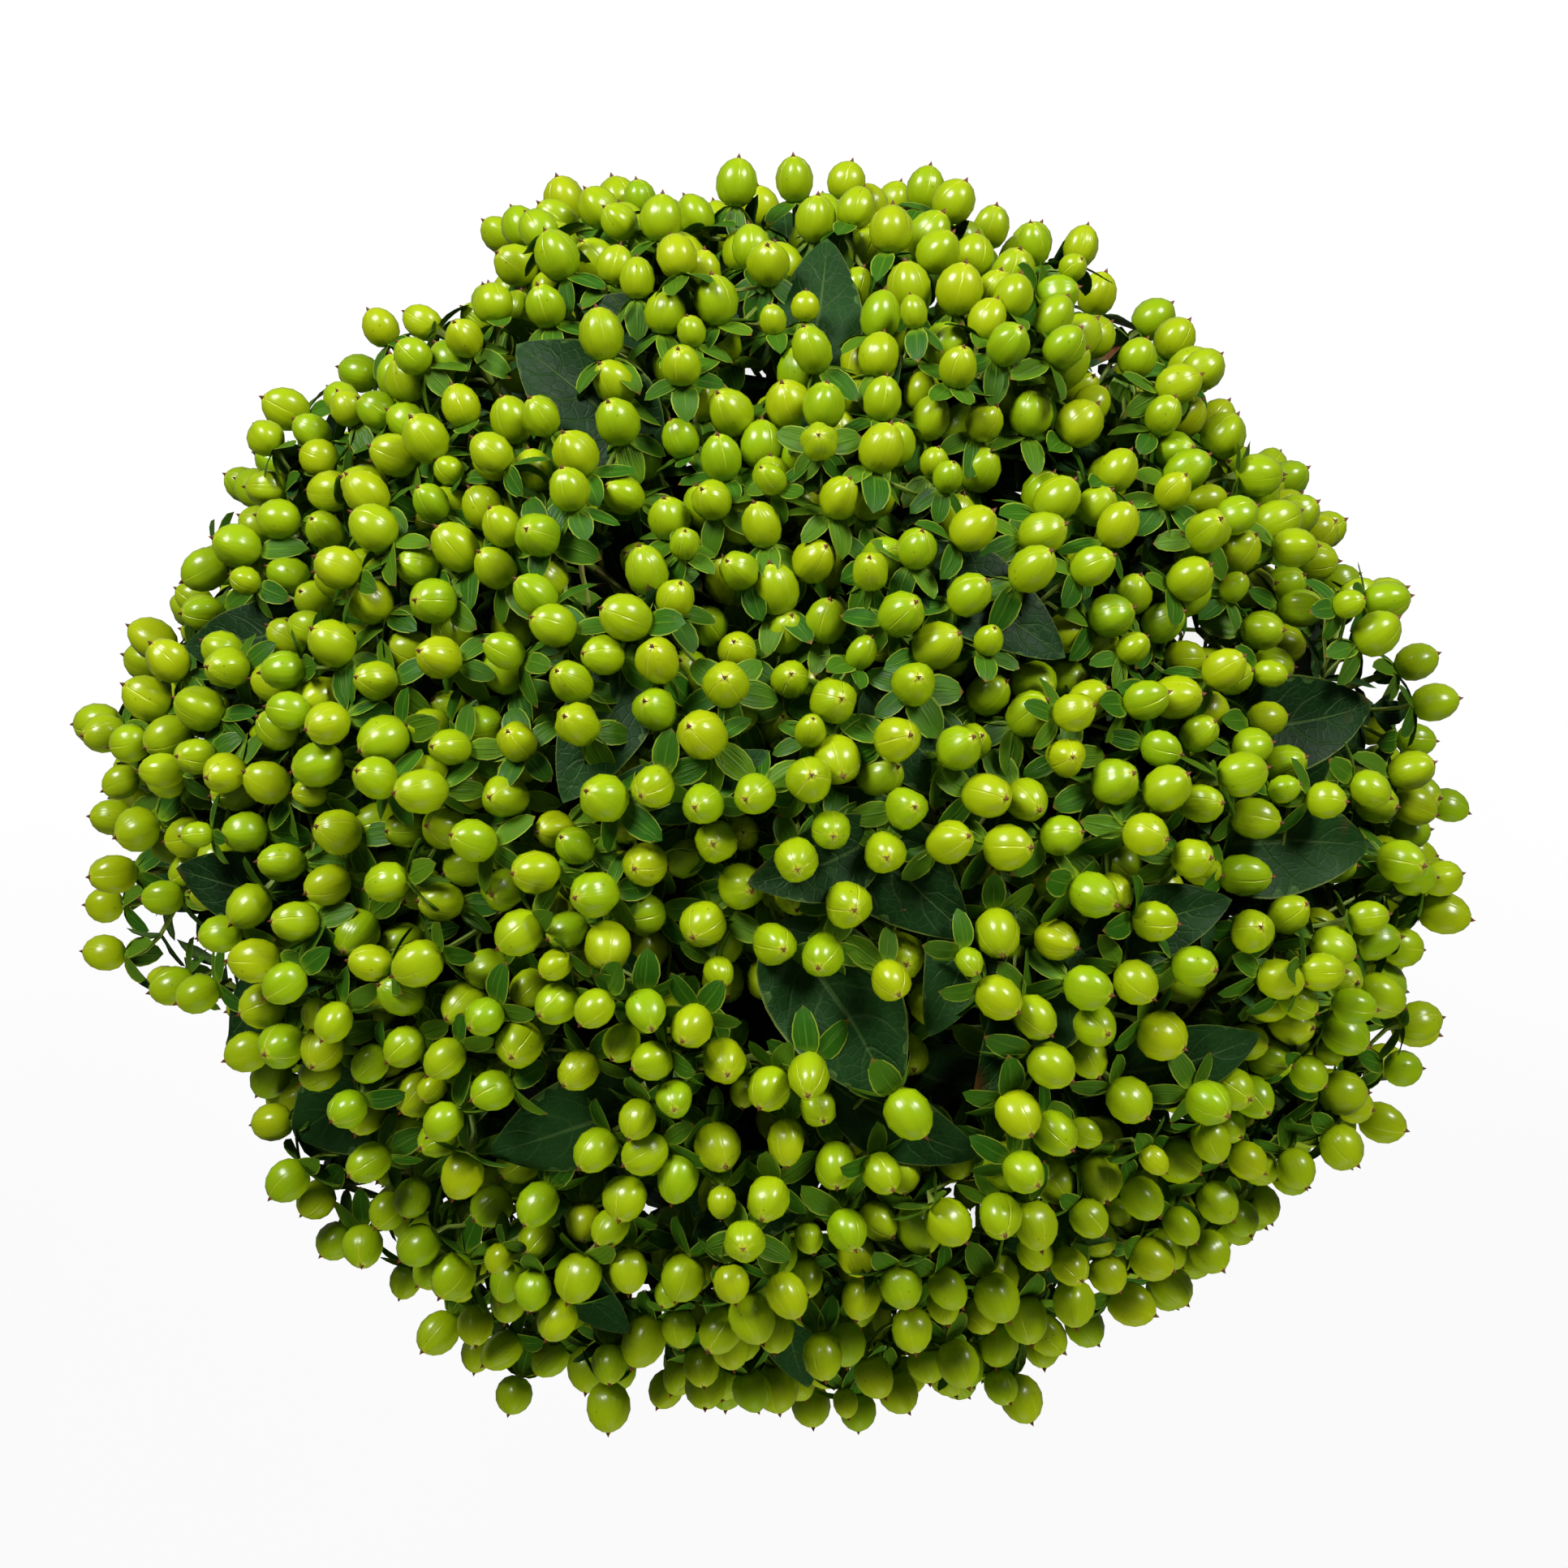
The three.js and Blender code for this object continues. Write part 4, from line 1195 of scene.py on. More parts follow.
@dataclass
class Foliage:
    """Leaves, bracts and sepals. Lengths are millimetres, angles degrees."""

    large: BladeShape = BladeShape(4, 13, thick=0.55)
    small: BladeShape = BladeShape(2, 8, thick=0.5)
    bract: BladeShape = BladeShape(2, 4, thick=0.35, fold=0.25)
    sepal: BladeShape = BladeShape(1, 5, bulge=0.95, fullness=0.52, thick=0.35, fold=0.12)
    sepals: int = 5
    sepal_length: tuple[float, float] = (9.8, 12.8)
    sepal_width: float = 0.58
    sepal_lift: tuple[float, float] = (-1.15, 0.25)
    sepal_fall: tuple[float, float] = (0.1, 0.5)
    sepal_bends: tuple[float, ...] = (0.0, -0.35, 0.3, -0.8, -1.4)
    sepal_room: float = 0.2
    sepal_reach: float = 22.0
    extra_pairs: tuple[float, ...] = (36, 46, 66, 78, 90, 102, 116, 132, 150)
    crown_aim: float = 0.9
    crown_pairs: tuple[float, ...] = (90, 102, 116, 132, 150)
    extra_size: tuple[float, float] = (47, 28)
    extra_shrinks: tuple[float, ...] = (1, 0.8, 0.62)
    extra_rise: float = 58
    leaf_room: float = 5.8
    bract_length: tuple[float, float] = (10, 17)
    bract_back: float = 12.0

    def leaf_tubes(self, shape: BladeShape, leaves: list[Leaf], chance: np.random.Generator) -> Tubes:
        """Works out leaves: an arched midrib whose tip nods, with one edge or both turned down.

        Args:
            shape: The blade's make.
            leaves: The leaves.
            chance: The draws of their small differences.

        Returns:
            The leaves.
        """
        root = np.array([leaf.root for leaf in leaves]).reshape(-1, 3)
        heading = np.array([leaf.heading for leaf in leaves]).reshape(-1, 3)
        face = np.array([leaf.face for leaf in leaves]).reshape(-1, 3)
        length = np.array([leaf.length for leaf in leaves])
        width = np.array([leaf.width for leaf in leaves])
        arch = np.array([leaf.arch for leaf in leaves])
        share = np.concatenate([[0.0], shape.stations, [1.0]])
        count = len(leaves)
        swing = chance.normal(0, 0.05, (count, 1)) * share * (share - 1) * 4
        side = np.cross(face, heading)
        ahead = heading[:, None] * (length[:, None] * share)[..., None]
        drop = face[:, None] * (arch[:, None] * length[:, None] * share**2)[..., None]
        path = root[:, None] + ahead - drop + side[:, None] * (swing * length[:, None])[..., None]
        phase = chance.random((count, 1, 2)) * 2 * math.pi
        station = shape.stations[None, :, None]
        ripple = np.sin(2 * math.pi * 2.3 * station + phase) * 0.035 * width[:, None, None]
        curl = np.clip(chance.normal(-0.02, 0.12, (count, 1, 2)), -0.3, 0.12) * width[:, None, None]
        wave = ripple + curl * np.sin(math.pi * station) ** 0.7
        return shape.build(path, side, face, width, wave, chance.random(count))

    def extra_leaves(self, branches: list[Branch], berries: np.ndarray, seed: int) -> dict[str, list[Leaf]]:
        """Grows the leaves that the solids leave out, each turned to where the berries leave room.

        Args:
            branches: The branches.
            berries: The middles of all berries.
            seed: The seed of the draws.

        Returns:
            The leaves of each branch, by its node.
        """
        chance = np.random.default_rng(seed)
        grown: dict[str, list[Leaf]] = {}
        for branch in branches:
            grown[branch.node] = []
            first = chance.random() * 180
            pairs = self.crown_pairs if branch.aim[2] > self.crown_aim else self.extra_pairs
            for pair, back in enumerate(pairs):
                if back > 0.86 * branch.length:
                    continue
                point, direction = branch.on_curve(back)
                for opposite in (0, 180):
                    size = chance.uniform(0.82, 1.15)
                    turn = first + 90 * pair + opposite
                    rise = self.extra_rise + chance.uniform(-8, 10)
                    for shrink in self.extra_shrinks:
                        length, width = (value * size * shrink for value in self.extra_size)
                        turns = [turn + shift for shift in (0, 24, -24, 48, -48)]
                        tries = [grow_leaf(point, direction, way, rise, length, width) for way in turns]
                        rooms = [self._room(leaf, berries) for leaf in tries]
                        if max(rooms) > self.leaf_room:
                            grown[branch.node].append(tries[int(np.argmax(rooms))])
                            break
        return grown

    @staticmethod
    def _room(leaf: Leaf, berries: np.ndarray) -> float:
        """The distance from a leaf's blade to the nearest berry's middle."""
        side = np.cross(leaf.face, leaf.heading) * 0.4 * leaf.width
        points = [leaf.middle(s) + side * k for s in (0.4, 0.6, 0.8, 1.0) for k in (-1, 0, 1)]
        gaps = np.linalg.norm(np.array(points)[:, None] - berries[None], axis=-1)
        return float(gaps.min())

    def bracts(self, twigs: np.ndarray, chance: np.random.Generator) -> Tubes:
        """Two bracts where the side stalks leave each twig, opposite each other."""
        fork, ahead = near_end(twigs, self.bract_back)
        right = across(ahead)
        front = np.cross(ahead, right)
        turns = chance.random(len(fork)) * 360
        leaves = []
        for number, turn in enumerate(turns):
            for opposite in (0, 180):
                outward = turned(right[number], front[number], turn + opposite)
                rise = chance.uniform(48, 80)
                heading = turned(ahead[number], outward, rise)
                face = turned(-outward, ahead[number], rise)
                length = chance.uniform(*self.bract_length)
                leaves.append(Leaf(fork[number], heading, face, length, 0.46 * length, 0.12))
        return self.leaf_tubes(self.bract, leaves, chance)

    def _sepal_paths(
        self, root: np.ndarray, outward: np.ndarray, up: np.ndarray, long: np.ndarray,
        lift: np.ndarray, fall: np.ndarray,
    ) -> np.ndarray:  # fmt: skip
        """Midribs that run out by s, up by the lift times s and down by the fall times s squared.

        All three are times the sepal's length over the slant of that line.

        Args:
            root: The sepals' feet.
            outward: The ways they spread.
            up: The ways their berries point.
            long: Their lengths.
            lift: How far each rises, for one or more tries.
            fall: How far each nods.

        Returns:
            The points at the foot, the stations and the tip.
        """
        share = np.concatenate([[0.0], self.sepal.stations, [1.0]])
        scale = (long / np.hypot(1, lift - 0.8 * fall))[..., None]
        height = scale * (lift[..., None] * share - fall[:, None] * share**2)
        return root[:, None] + outward[:, None] * (scale * share)[..., None] + up[:, None] * height[..., None]

    def _bent_clear(
        self, root: np.ndarray, outward: np.ndarray, up: np.ndarray, long: np.ndarray,
        lift: np.ndarray, fall: np.ndarray, near: Crop,
    ) -> np.ndarray:  # fmt: skip
        """Bends the sepals that would cut into a berry.

        Each sepal takes the first of the listed bends with which its midrib and edges keep clear
        of the berries, or else the bend that keeps furthest from them.

        Args:
            root: The sepals' feet.
            outward: The ways they spread.
            up: The ways their berries point.
            long: Their lengths.
            lift: How far each rises, as drawn.
            fall: How far each nods.
            near: The berries round them.

        Returns:
            How far each rises.
        """
        tries = lift + np.array(self.sepal_bends)[:, None]
        path = self._sepal_paths(root, outward, up, long, tries, fall)[:, :, 1:]
        wide = np.append(np.sin(math.pi * self.sepal.stations) ** 0.5, 0.0)
        edge = np.cross(up, outward)[:, None] * (0.4 * self.sepal_width * long[:, None] * wide)[..., None]
        points = np.stack([path - edge, path, path + edge])
        squares = (points**2).sum(axis=-1)[..., None] + (near.centre**2).sum(axis=-1)
        gaps = np.sqrt(np.clip(squares - 2 * points @ near.centre.T, 0, None))
        room = (gaps - BerryShape.radius * near.size).min(axis=(0, 3, 4))
        is_clear = room > self.sepal_room
        best = np.where(is_clear.any(axis=0), is_clear.argmax(axis=0), room.argmax(axis=0))
        return tries[best, np.arange(len(lift))]

    def calyxes(
        self, base: np.ndarray, axis: np.ndarray, size: np.ndarray, near: Crop, chance: np.random.Generator
    ) -> Tubes:
        """Five sepals under each berry, spread as a star or bent back along the stalk.

        Args:
            base: The berries' feet.
            axis: The ways the berries point.
            size: Their relative sizes.
            near: The berries round them.
            chance: The draws of their small differences.

        Returns:
            The sepals.
        """
        count, each = len(base), self.sepals
        right = across(axis)
        front = np.cross(axis, right)
        turn = chance.random((count, 1)) * 360 + np.arange(each) * 360 / each + chance.normal(0, 7, (count, each))
        outward = turned(right[:, None], front[:, None], turn[..., None]).reshape(-1, 3)
        up = np.repeat(axis, each, axis=0)
        long = (chance.uniform(*self.sepal_length, (count, each)) * (0.4 + 0.6 * size[:, None])).ravel()
        lift = np.repeat(chance.uniform(*self.sepal_lift, count), each) + chance.normal(0, 0.1, count * each)
        fall = np.repeat(chance.uniform(*self.sepal_fall, count), each) + chance.normal(0, 0.1, count * each)
        root = np.repeat(base, each, axis=0) + outward * 0.7 + up * 0.1
        lift = self._bent_clear(root, outward, up, long, lift, fall, near)
        path = self._sepal_paths(root, outward, up, long, lift, fall)
        slope = (lift - fall)[:, None]
        heading = unit(outward + up * slope)
        face = unit(up - outward * slope)
        side = np.cross(face, heading)
        wave = np.zeros((count * each, self.sepal.rings, 2)) + chance.normal(0.1, 0.25, (count * each, 1, 2))
        width = long * self.sepal_width * chance.uniform(0.85, 1.15, count * each)
        return self.sepal.build(path, side, face, width, wave, chance.random(count * each))


@dataclass
class Wood:
    """Stems, twigs and stalks. Lengths are millimetres."""

    foot_radius: float = 2.35
    tie_radius: float = 2.3
    tip_radius: float = 0.95
    taper: float = 1.6
    sides: int = 10
    knot_gap: float = 33
    knot_rise: float = 0.32
    twig_radius: float = 0.85
    stalk_radius: float = 0.55
    cup_radius: float = 1.5
    sunk: float = 0.8

    def stem(self, branch: Branch, chance: np.random.Generator) -> Tubes:
        """A stem: straight from its level foot to the tie, then arched, with a swelling at each knot."""
        foot = branch.tie - branch.lean * (branch.tie[2] / branch.lean[2])
        fine = np.linspace(0, 1, 200)
        line = np.concatenate([foot + (branch.tie - foot) * fine[:-1, None], bezier(branch.handles, fine)])
        line[-1] += unit(line[-1] - line[-2]) * self.sunk
        gone = np.concatenate([[0.0], np.cumsum(np.linalg.norm(np.diff(line, axis=0), axis=1))])
        knots = np.arange(18 + chance.uniform(0, self.knot_gap), gone[-1] - 20, self.knot_gap)
        near = (knots[:, None] + np.array([-3.5, -1.2, 1.2, 3.5])).ravel()
        between = knots + 0.5 * self.knot_gap
        marks = [0.0, 0.35, 3.0, gone[-1] - 5, gone[-1] - 1.6, gone[-1]]
        places = np.unique(np.round(np.concatenate([near, between, marks]).clip(0, gone[-1]), 2))
        places = places[np.append(np.diff(places) > 0.3, True)]
        path = np.stack([np.interp(places, gone, line[:, axis]) for axis in range(3)], -1)[None]
        straight = gone[199]
        arched = np.clip((places - straight) / (gone[-1] - straight), 0, 1)
        radii = self.tie_radius + (self.tip_radius - self.tie_radius) * arched**self.taper
        radii = np.where(places < straight, self.foot_radius, radii)
        bump = np.exp(-(((places[:, None] - knots) / 1.9) ** 2)).sum(axis=1)
        radii = radii + self.knot_rise * bump + np.where(places > gone[-1] - 1, self.cup_radius - self.tip_radius, 0)
        cut = (places < 0.1).astype(float)
        age = np.clip(1 - arched * 1.15, 0, 1)
        made = sweep(path, radii[None], self.sides, {
            "age": age[:, None], "cut": cut[:, None], "knot": bump[:, None], "tone": np.full((1, 1, 1), chance.random()),
        })  # fmt: skip
        for row in (0, 1):
            over = made.rings[0, row, :, 2:] - places[row]
            made.rings[0, row] -= branch.lean * (over / branch.lean[2])
        return made

    def twigs(self, handles: np.ndarray, young: float, chance: np.random.Generator) -> Tubes:
        """Twigs along cubic curves, thicker at the root and cupped at the end."""
        shares = np.array([0, 0.12, 0.3, 0.5, 0.68, 0.84, 0.95, 1.0])
        radii = self.stalk_radius + (self.twig_radius - self.stalk_radius) * (1 - shares) ** 1.2
        radii[-1], radii[0] = self.cup_radius, self.twig_radius * 1.25
        age = young * (1 - shares)
        tone = chance.random((len(handles), 1, 1))
        knot = np.exp(-((shares / 0.1) ** 2))
        return sweep(bezier(handles, shares), radii, 6, {"age": age[:, None], "tone": tone, "knot": knot[:, None]})

    def stalks(self, handles: np.ndarray, chance: np.random.Generator) -> Tubes:
        """Berries' stalks along cubic curves, cupped at the end."""
        shares = np.array([0, 0.25, 0.55, 0.85, 1.0])
        radii = np.array([0.72, 0.56, 0.55, 0.7, 1.4])
        age = 0.35 * (1 - shares) ** 3
        tone = chance.random((len(handles), 1, 1))
        return sweep(bezier(handles, shares), radii, 5, {"age": age[:, None], "tone": tone})

    def leaf_stalks(self, pairs: list[tuple[np.ndarray, Leaf]], chance: np.random.Generator) -> Tubes:
        """Twigs that carry large leaves: from the stem, and a little way along the midrib's back."""
        handles = []
        for start, leaf in pairs:
            span = float(np.linalg.norm(leaf.root - start))
            under = leaf.root + leaf.heading * 2.5 - leaf.face * 0.3
            handles.append([start, start + (leaf.root - start) * 0.4, leaf.root - leaf.heading * 0.3 * span, under])
        shares = np.array([0, 0.2, 0.45, 0.7, 0.9, 1.0])
        radii = np.array([0.95, 0.7, 0.62, 0.6, 0.55, 0.3])
        tone = chance.random((len(handles), 1, 1))
        paths = bezier(np.array(handles).reshape(-1, 4, 3), shares)
        return sweep(paths, radii, 6, {"age": 0.5 * (1 - shares)[:, None], "tone": tone})


@dataclass
class Tie:
    """The twine: a few turns of three twisted strands, with a small knot. Lengths are millimetres."""

    height: float = 168
    inner_radius: float = 19.2
    turns: int = 4
    diameter: float = 2.4
    strand_twists: float = 17
    steps_per_turn: int = 150
    knot_size: float = 1.5
    tail: float = 15

    def build(self, finish: bpy.types.Material) -> bpy.types.Object:
        """Builds the twine and its knot, and puts it in place of its solid.

        Args:
            finish: The twine's material.

        Returns:
            The object.
        """
        shell = Shell("tone")
        shell.add(self._coil())
        shell.add(self._knot())
        shell.add(self._tails())
        made = shell.build("tie_twine", finish, None)
        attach(made, "root")
        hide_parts("tie")
        return made

    def _strands(self, path: np.ndarray, twists: float, sides: int) -> Tubes:
        """Three strands wound round a path, each a third of a turn on."""
        right, front = frames(path[None])
        share = np.linspace(0, 1, len(path))
        angle = 2 * math.pi * (twists * share + np.arange(3)[:, None] / 3)
        off = 0.25 * self.diameter
        lay = right * np.cos(angle)[..., None] + front * np.sin(angle)[..., None]
        tone = np.array([0.2, 0.5, 0.8])[:, None, None]
        return sweep(path[None] + off * lay, np.array([0.27 * self.diameter]), sides, {"tone": tone})

    def _coil(self) -> Tubes:
        """The turns: a helix whose pitch is the twine's thickness."""
        angle = np.linspace(0, 2 * math.pi * (self.turns - 0.02), self.turns * self.steps_per_turn)
        radius = self.inner_radius + 0.5 * self.diameter
        rise = self.height + self.diameter * (angle / (2 * math.pi) - 0.5 * self.turns) * 0.8
        path = np.stack([radius * np.cos(angle), radius * np.sin(angle), rise], -1)
        return self._strands(path, self.strand_twists * self.turns, 6)

    def _knot(self) -> Tubes:
        """An overhand knot: the curve (sin t + 2 sin 2t, cos t - 2 cos 2t, -sin 3t)."""
        t = np.linspace(0.15, 2 * math.pi - 0.15, 60)
        reach = self.inner_radius + 1.7 * self.diameter
        flat = np.stack([-np.sin(3 * t), np.sin(t) + 2 * np.sin(2 * t), np.cos(t) - 2 * np.cos(2 * t)], -1)
        path = flat * self.knot_size * 0.75 + np.array([reach, 0, self.height])
        return self._strands(path, 9, 5)

    def _tails(self) -> Tubes:
        """Two short ends that hang from the knot."""
        start = np.array([self.inner_radius + 1.9 * self.diameter, 0, self.height - 2])
        tubes = []
        for way in (-1, 1):
            out = start + np.array([2.2, way * 3.0, -3.0])
            end = start + np.array([1.0, way * 6.0, -self.tail])
            handles = np.array([start, out, end + np.array([1.5, 0, 5.0]), end])
            tubes.append(self._strands(bezier(handles, np.linspace(0, 1, 24)), 3, 5))
        marks = {"tone": np.concatenate([part.marks["tone"] for part in tubes])}
        join = [np.concatenate([getattr(part, name) for part in tubes]) for name in ("rings", "starts", "ends")]
        return Tubes(join[0], join[1], join[2], np.concatenate([t.across for t in tubes]), tubes[0].along, marks)


# ---------------------------------------------------------------- finishes


class Wiring:
    """A node tree, with short calls for the nodes that the finishes use."""

    def __init__(self, tree: bpy.types.NodeTree) -> None:
        """Takes the tree to wire."""
        self.tree = tree

    def feed(self, socket: bpy.types.NodeSocket, value: Any) -> None:
        """Links a socket to another, or sets its value."""
        if isinstance(value, bpy.types.NodeSocket):
            self.tree.links.new(value, socket)
        else:
            socket.default_value = value

    def add(self, kind: str, inputs: dict[Any, Any] | None = None, **settings: Any) -> bpy.types.Node:
        """Adds a node, with its settings and its inputs by name or number."""
        node = self.tree.nodes.new(kind)
        for name, value in settings.items():
            setattr(node, name, value)
        for name, value in (inputs or {}).items():
            self.feed(node.inputs[name], value)
        return node

    def math(self, operation: str, *values: Any) -> bpy.types.NodeSocket:
        """The result of a sum on values."""
        return self.add("ShaderNodeMath", dict(enumerate(values)), operation=operation).outputs[0]

    def blend(self, share: Any, low: Any, high: Any) -> bpy.types.NodeSocket:
        """A colour between two, by a share."""
        node = self.add("ShaderNodeMix", {0: share, 6: low, 7: high}, data_type="RGBA")
        return node.outputs[2]

    def step(self, value: Any, low: float, high: float) -> bpy.types.NodeSocket:
        """A smooth step of a value, 0 at low and 1 at high."""
        inputs = {"Value": value, "From Min": low, "From Max": high}
        return self.add("ShaderNodeMapRange", inputs, interpolation_type="SMOOTHSTEP").outputs[0]

    def noise(self, vector: Any, scale: Any, detail: float = 2.0) -> bpy.types.NodeSocket:
        """A noise value at a place."""
        inputs = {"Vector": vector, "Scale": scale, "Detail": detail}
        return self.add("ShaderNodeTexNoise", inputs).outputs[0]

    def mark(self, name: str) -> bpy.types.NodeSocket:
        """A value that the mesh's corners carry."""
        return self.add("ShaderNodeAttribute", attribute_name=name).outputs["Fac"]

    def skin(self) -> tuple[bpy.types.NodeSocket, bpy.types.NodeSocket]:
        """The places round and along the surface, from the UV map."""
        place = self.add("ShaderNodeSeparateXYZ", {0: self.add("ShaderNodeUVMap", uv_map="skin").outputs[0]})
        return place.outputs[0], place.outputs[1]

    def here(self) -> bpy.types.NodeSocket:
        """The place in the object's own coordinates, in metres."""
        return self.add("ShaderNodeTexCoord").outputs["Object"]

    def place(self, *values: Any) -> bpy.types.NodeSocket:
        """A vector of up to three values."""
        return self.add("ShaderNodeCombineXYZ", dict(enumerate(values))).outputs[0]

    def group(self, made: bpy.types.NodeTree, **inputs: Any) -> bpy.types.Node:
        """Places a node group with its own values."""
        node = self.add("ShaderNodeGroup", node_tree=made)
        for name, value in inputs.items():
            self.feed(node.inputs[name.replace("_", " ").capitalize()], value)
        return node


def new_group(name: str, inputs: dict[str, float], outputs: tuple[str, ...]) -> tuple[Wiring, Any, Any]:
    """Starts a node group of number sockets.

    Args:
        name: The group's name.
        inputs: Its inputs, with their values.
        outputs: Its outputs.

    Returns:
        The group's wiring, its input node and its output node.
    """
    tree = bpy.data.node_groups.new(name, "ShaderNodeTree")
    for label, value in inputs.items():
        tree.interface.new_socket(label, in_out="INPUT", socket_type="NodeSocketFloat").default_value = value
    for label in outputs:
        tree.interface.new_socket(label, in_out="OUTPUT", socket_type="NodeSocketFloat")
    wiring = Wiring(tree)
    return wiring, wiring.add("NodeGroupInput"), wiring.add("NodeGroupOutput")


class Effects:
    """The effects that more than one finish uses, each a node group built once."""

    def __init__(self) -> None:
        """Builds the groups."""
        self.specks = self._specks()
        self.fibre = self._fibre()
        self.veins = self._veins()

    @staticmethod
    def _specks() -> bpy.types.NodeTree:
        """Scattered small round spots: cells whose random value is high, near their middles."""
        w, start, end = new_group("specks", {"Scale": 400.0, "Radius": 0.2, "Share": 0.3}, ("Mask",))
        cells = w.add("ShaderNodeTexVoronoi", {"Vector": w.here(), "Scale": start.outputs["Scale"]})
        chosen = w.add("ShaderNodeSeparateColor", {0: cells.outputs["Color"]}).outputs[0]
        is_speck = w.math("LESS_THAN", chosen, start.outputs["Share"])
        edge = w.math("SUBTRACT", start.outputs["Radius"], cells.outputs["Distance"])
        w.feed(end.inputs["Mask"], w.math("MULTIPLY", is_speck, w.step(edge, 0.0, 0.08)))
        return w.tree

    @staticmethod
    def _fibre() -> bpy.types.NodeTree:
        """Fine streaks along a surface: noise that is dense round it and slow along it."""
        inputs = {"Around": 0.0, "Along": 0.0, "Tone": 0.0, "Density": 14.0, "Length": 1.5}
        w, start, end = new_group("fibre", inputs, ("Value",))
        value = start.outputs
        across_place = w.math("MULTIPLY", value["Around"], value["Density"])
        along_place = w.math("MULTIPLY", value["Along"], value["Length"])
        spot = w.place(across_place, along_place, w.math("MULTIPLY", value["Tone"], 53.0))
        w.feed(end.inputs["Value"], w.noise(spot, 1.0, 3.0))
        return w.tree

    @staticmethod
    def _veins() -> bpy.types.NodeTree:
        """A leaf's veins: the midrib, side ribs that lean to the tip, and the margin."""
        inputs = {"Across": 0.5, "Along": 0.0, "Ribs": 7.0, "Lean": 1.6, "Thickness": 0.05, "Rim": 0.9}
        w, start, end = new_group("veins", inputs, ("Midrib", "Side Ribs", "Margin"))
        value = start.outputs
        out = w.math("MULTIPLY", w.math("ABSOLUTE", w.math("SUBTRACT", value["Across"], 0.5)), 2.0)
        thick = w.math("MULTIPLY", value["Thickness"], w.math("SUBTRACT", 1.25, value["Along"]))
        rib = w.math("SUBTRACT", 1.0, w.step(w.math("DIVIDE", out, thick), 0.5, 1.5))
        run = w.math("MULTIPLY", value["Along"], value["Ribs"])
        lean = w.math("MULTIPLY", w.math("POWER", out, 1.4), value["Lean"])
        wander = w.math("MULTIPLY", w.noise(w.here(), 130.0), 0.5)
        phase = w.math("FRACT", w.math("ADD", w.math("SUBTRACT", run, lean), wander))
        near = w.math("ABSOLUTE", w.math("SUBTRACT", phase, 0.5))
        ribs = w.math("SUBTRACT", 1.0, w.step(near, 0.0, 0.09))
        fade = w.math("SUBTRACT", 1.0, w.step(out, 0.5, 0.95))
        w.feed(end.inputs["Midrib"], rib)
        w.feed(end.inputs["Side Ribs"], w.math("MULTIPLY", ribs, fade))
        rim = w.math("SUBTRACT", out, value["Rim"])
        w.feed(end.inputs["Margin"], w.step(rim, 0.0, 0.05))
        return w.tree


Colour = tuple[float, float, float, float]


def surface(name: str) -> tuple[bpy.types.Material, Wiring, bpy.types.Node]:
    """Starts a material.

    Args:
        name: The material's name.

    Returns:
        The material, its wiring and its surface shader.
    """
    material = bpy.data.materials.new(name)
    material.use_nodes = True
    wiring = Wiring(material.node_tree)
    shader = next(node for node in material.node_tree.nodes if node.type == "BSDF_PRINCIPLED")
    return material, wiring, shader


def relief(w: Wiring, shader: bpy.types.Node, height: Any, depth: float, strength: float) -> None:
    """Raises a surface by a height from 0 to 1, at a depth in metres."""
    bump = w.add("ShaderNodeBump", {"Height": height, "Distance": depth, "Strength": strength})
    w.feed(shader.inputs["Normal"], bump.outputs[0])


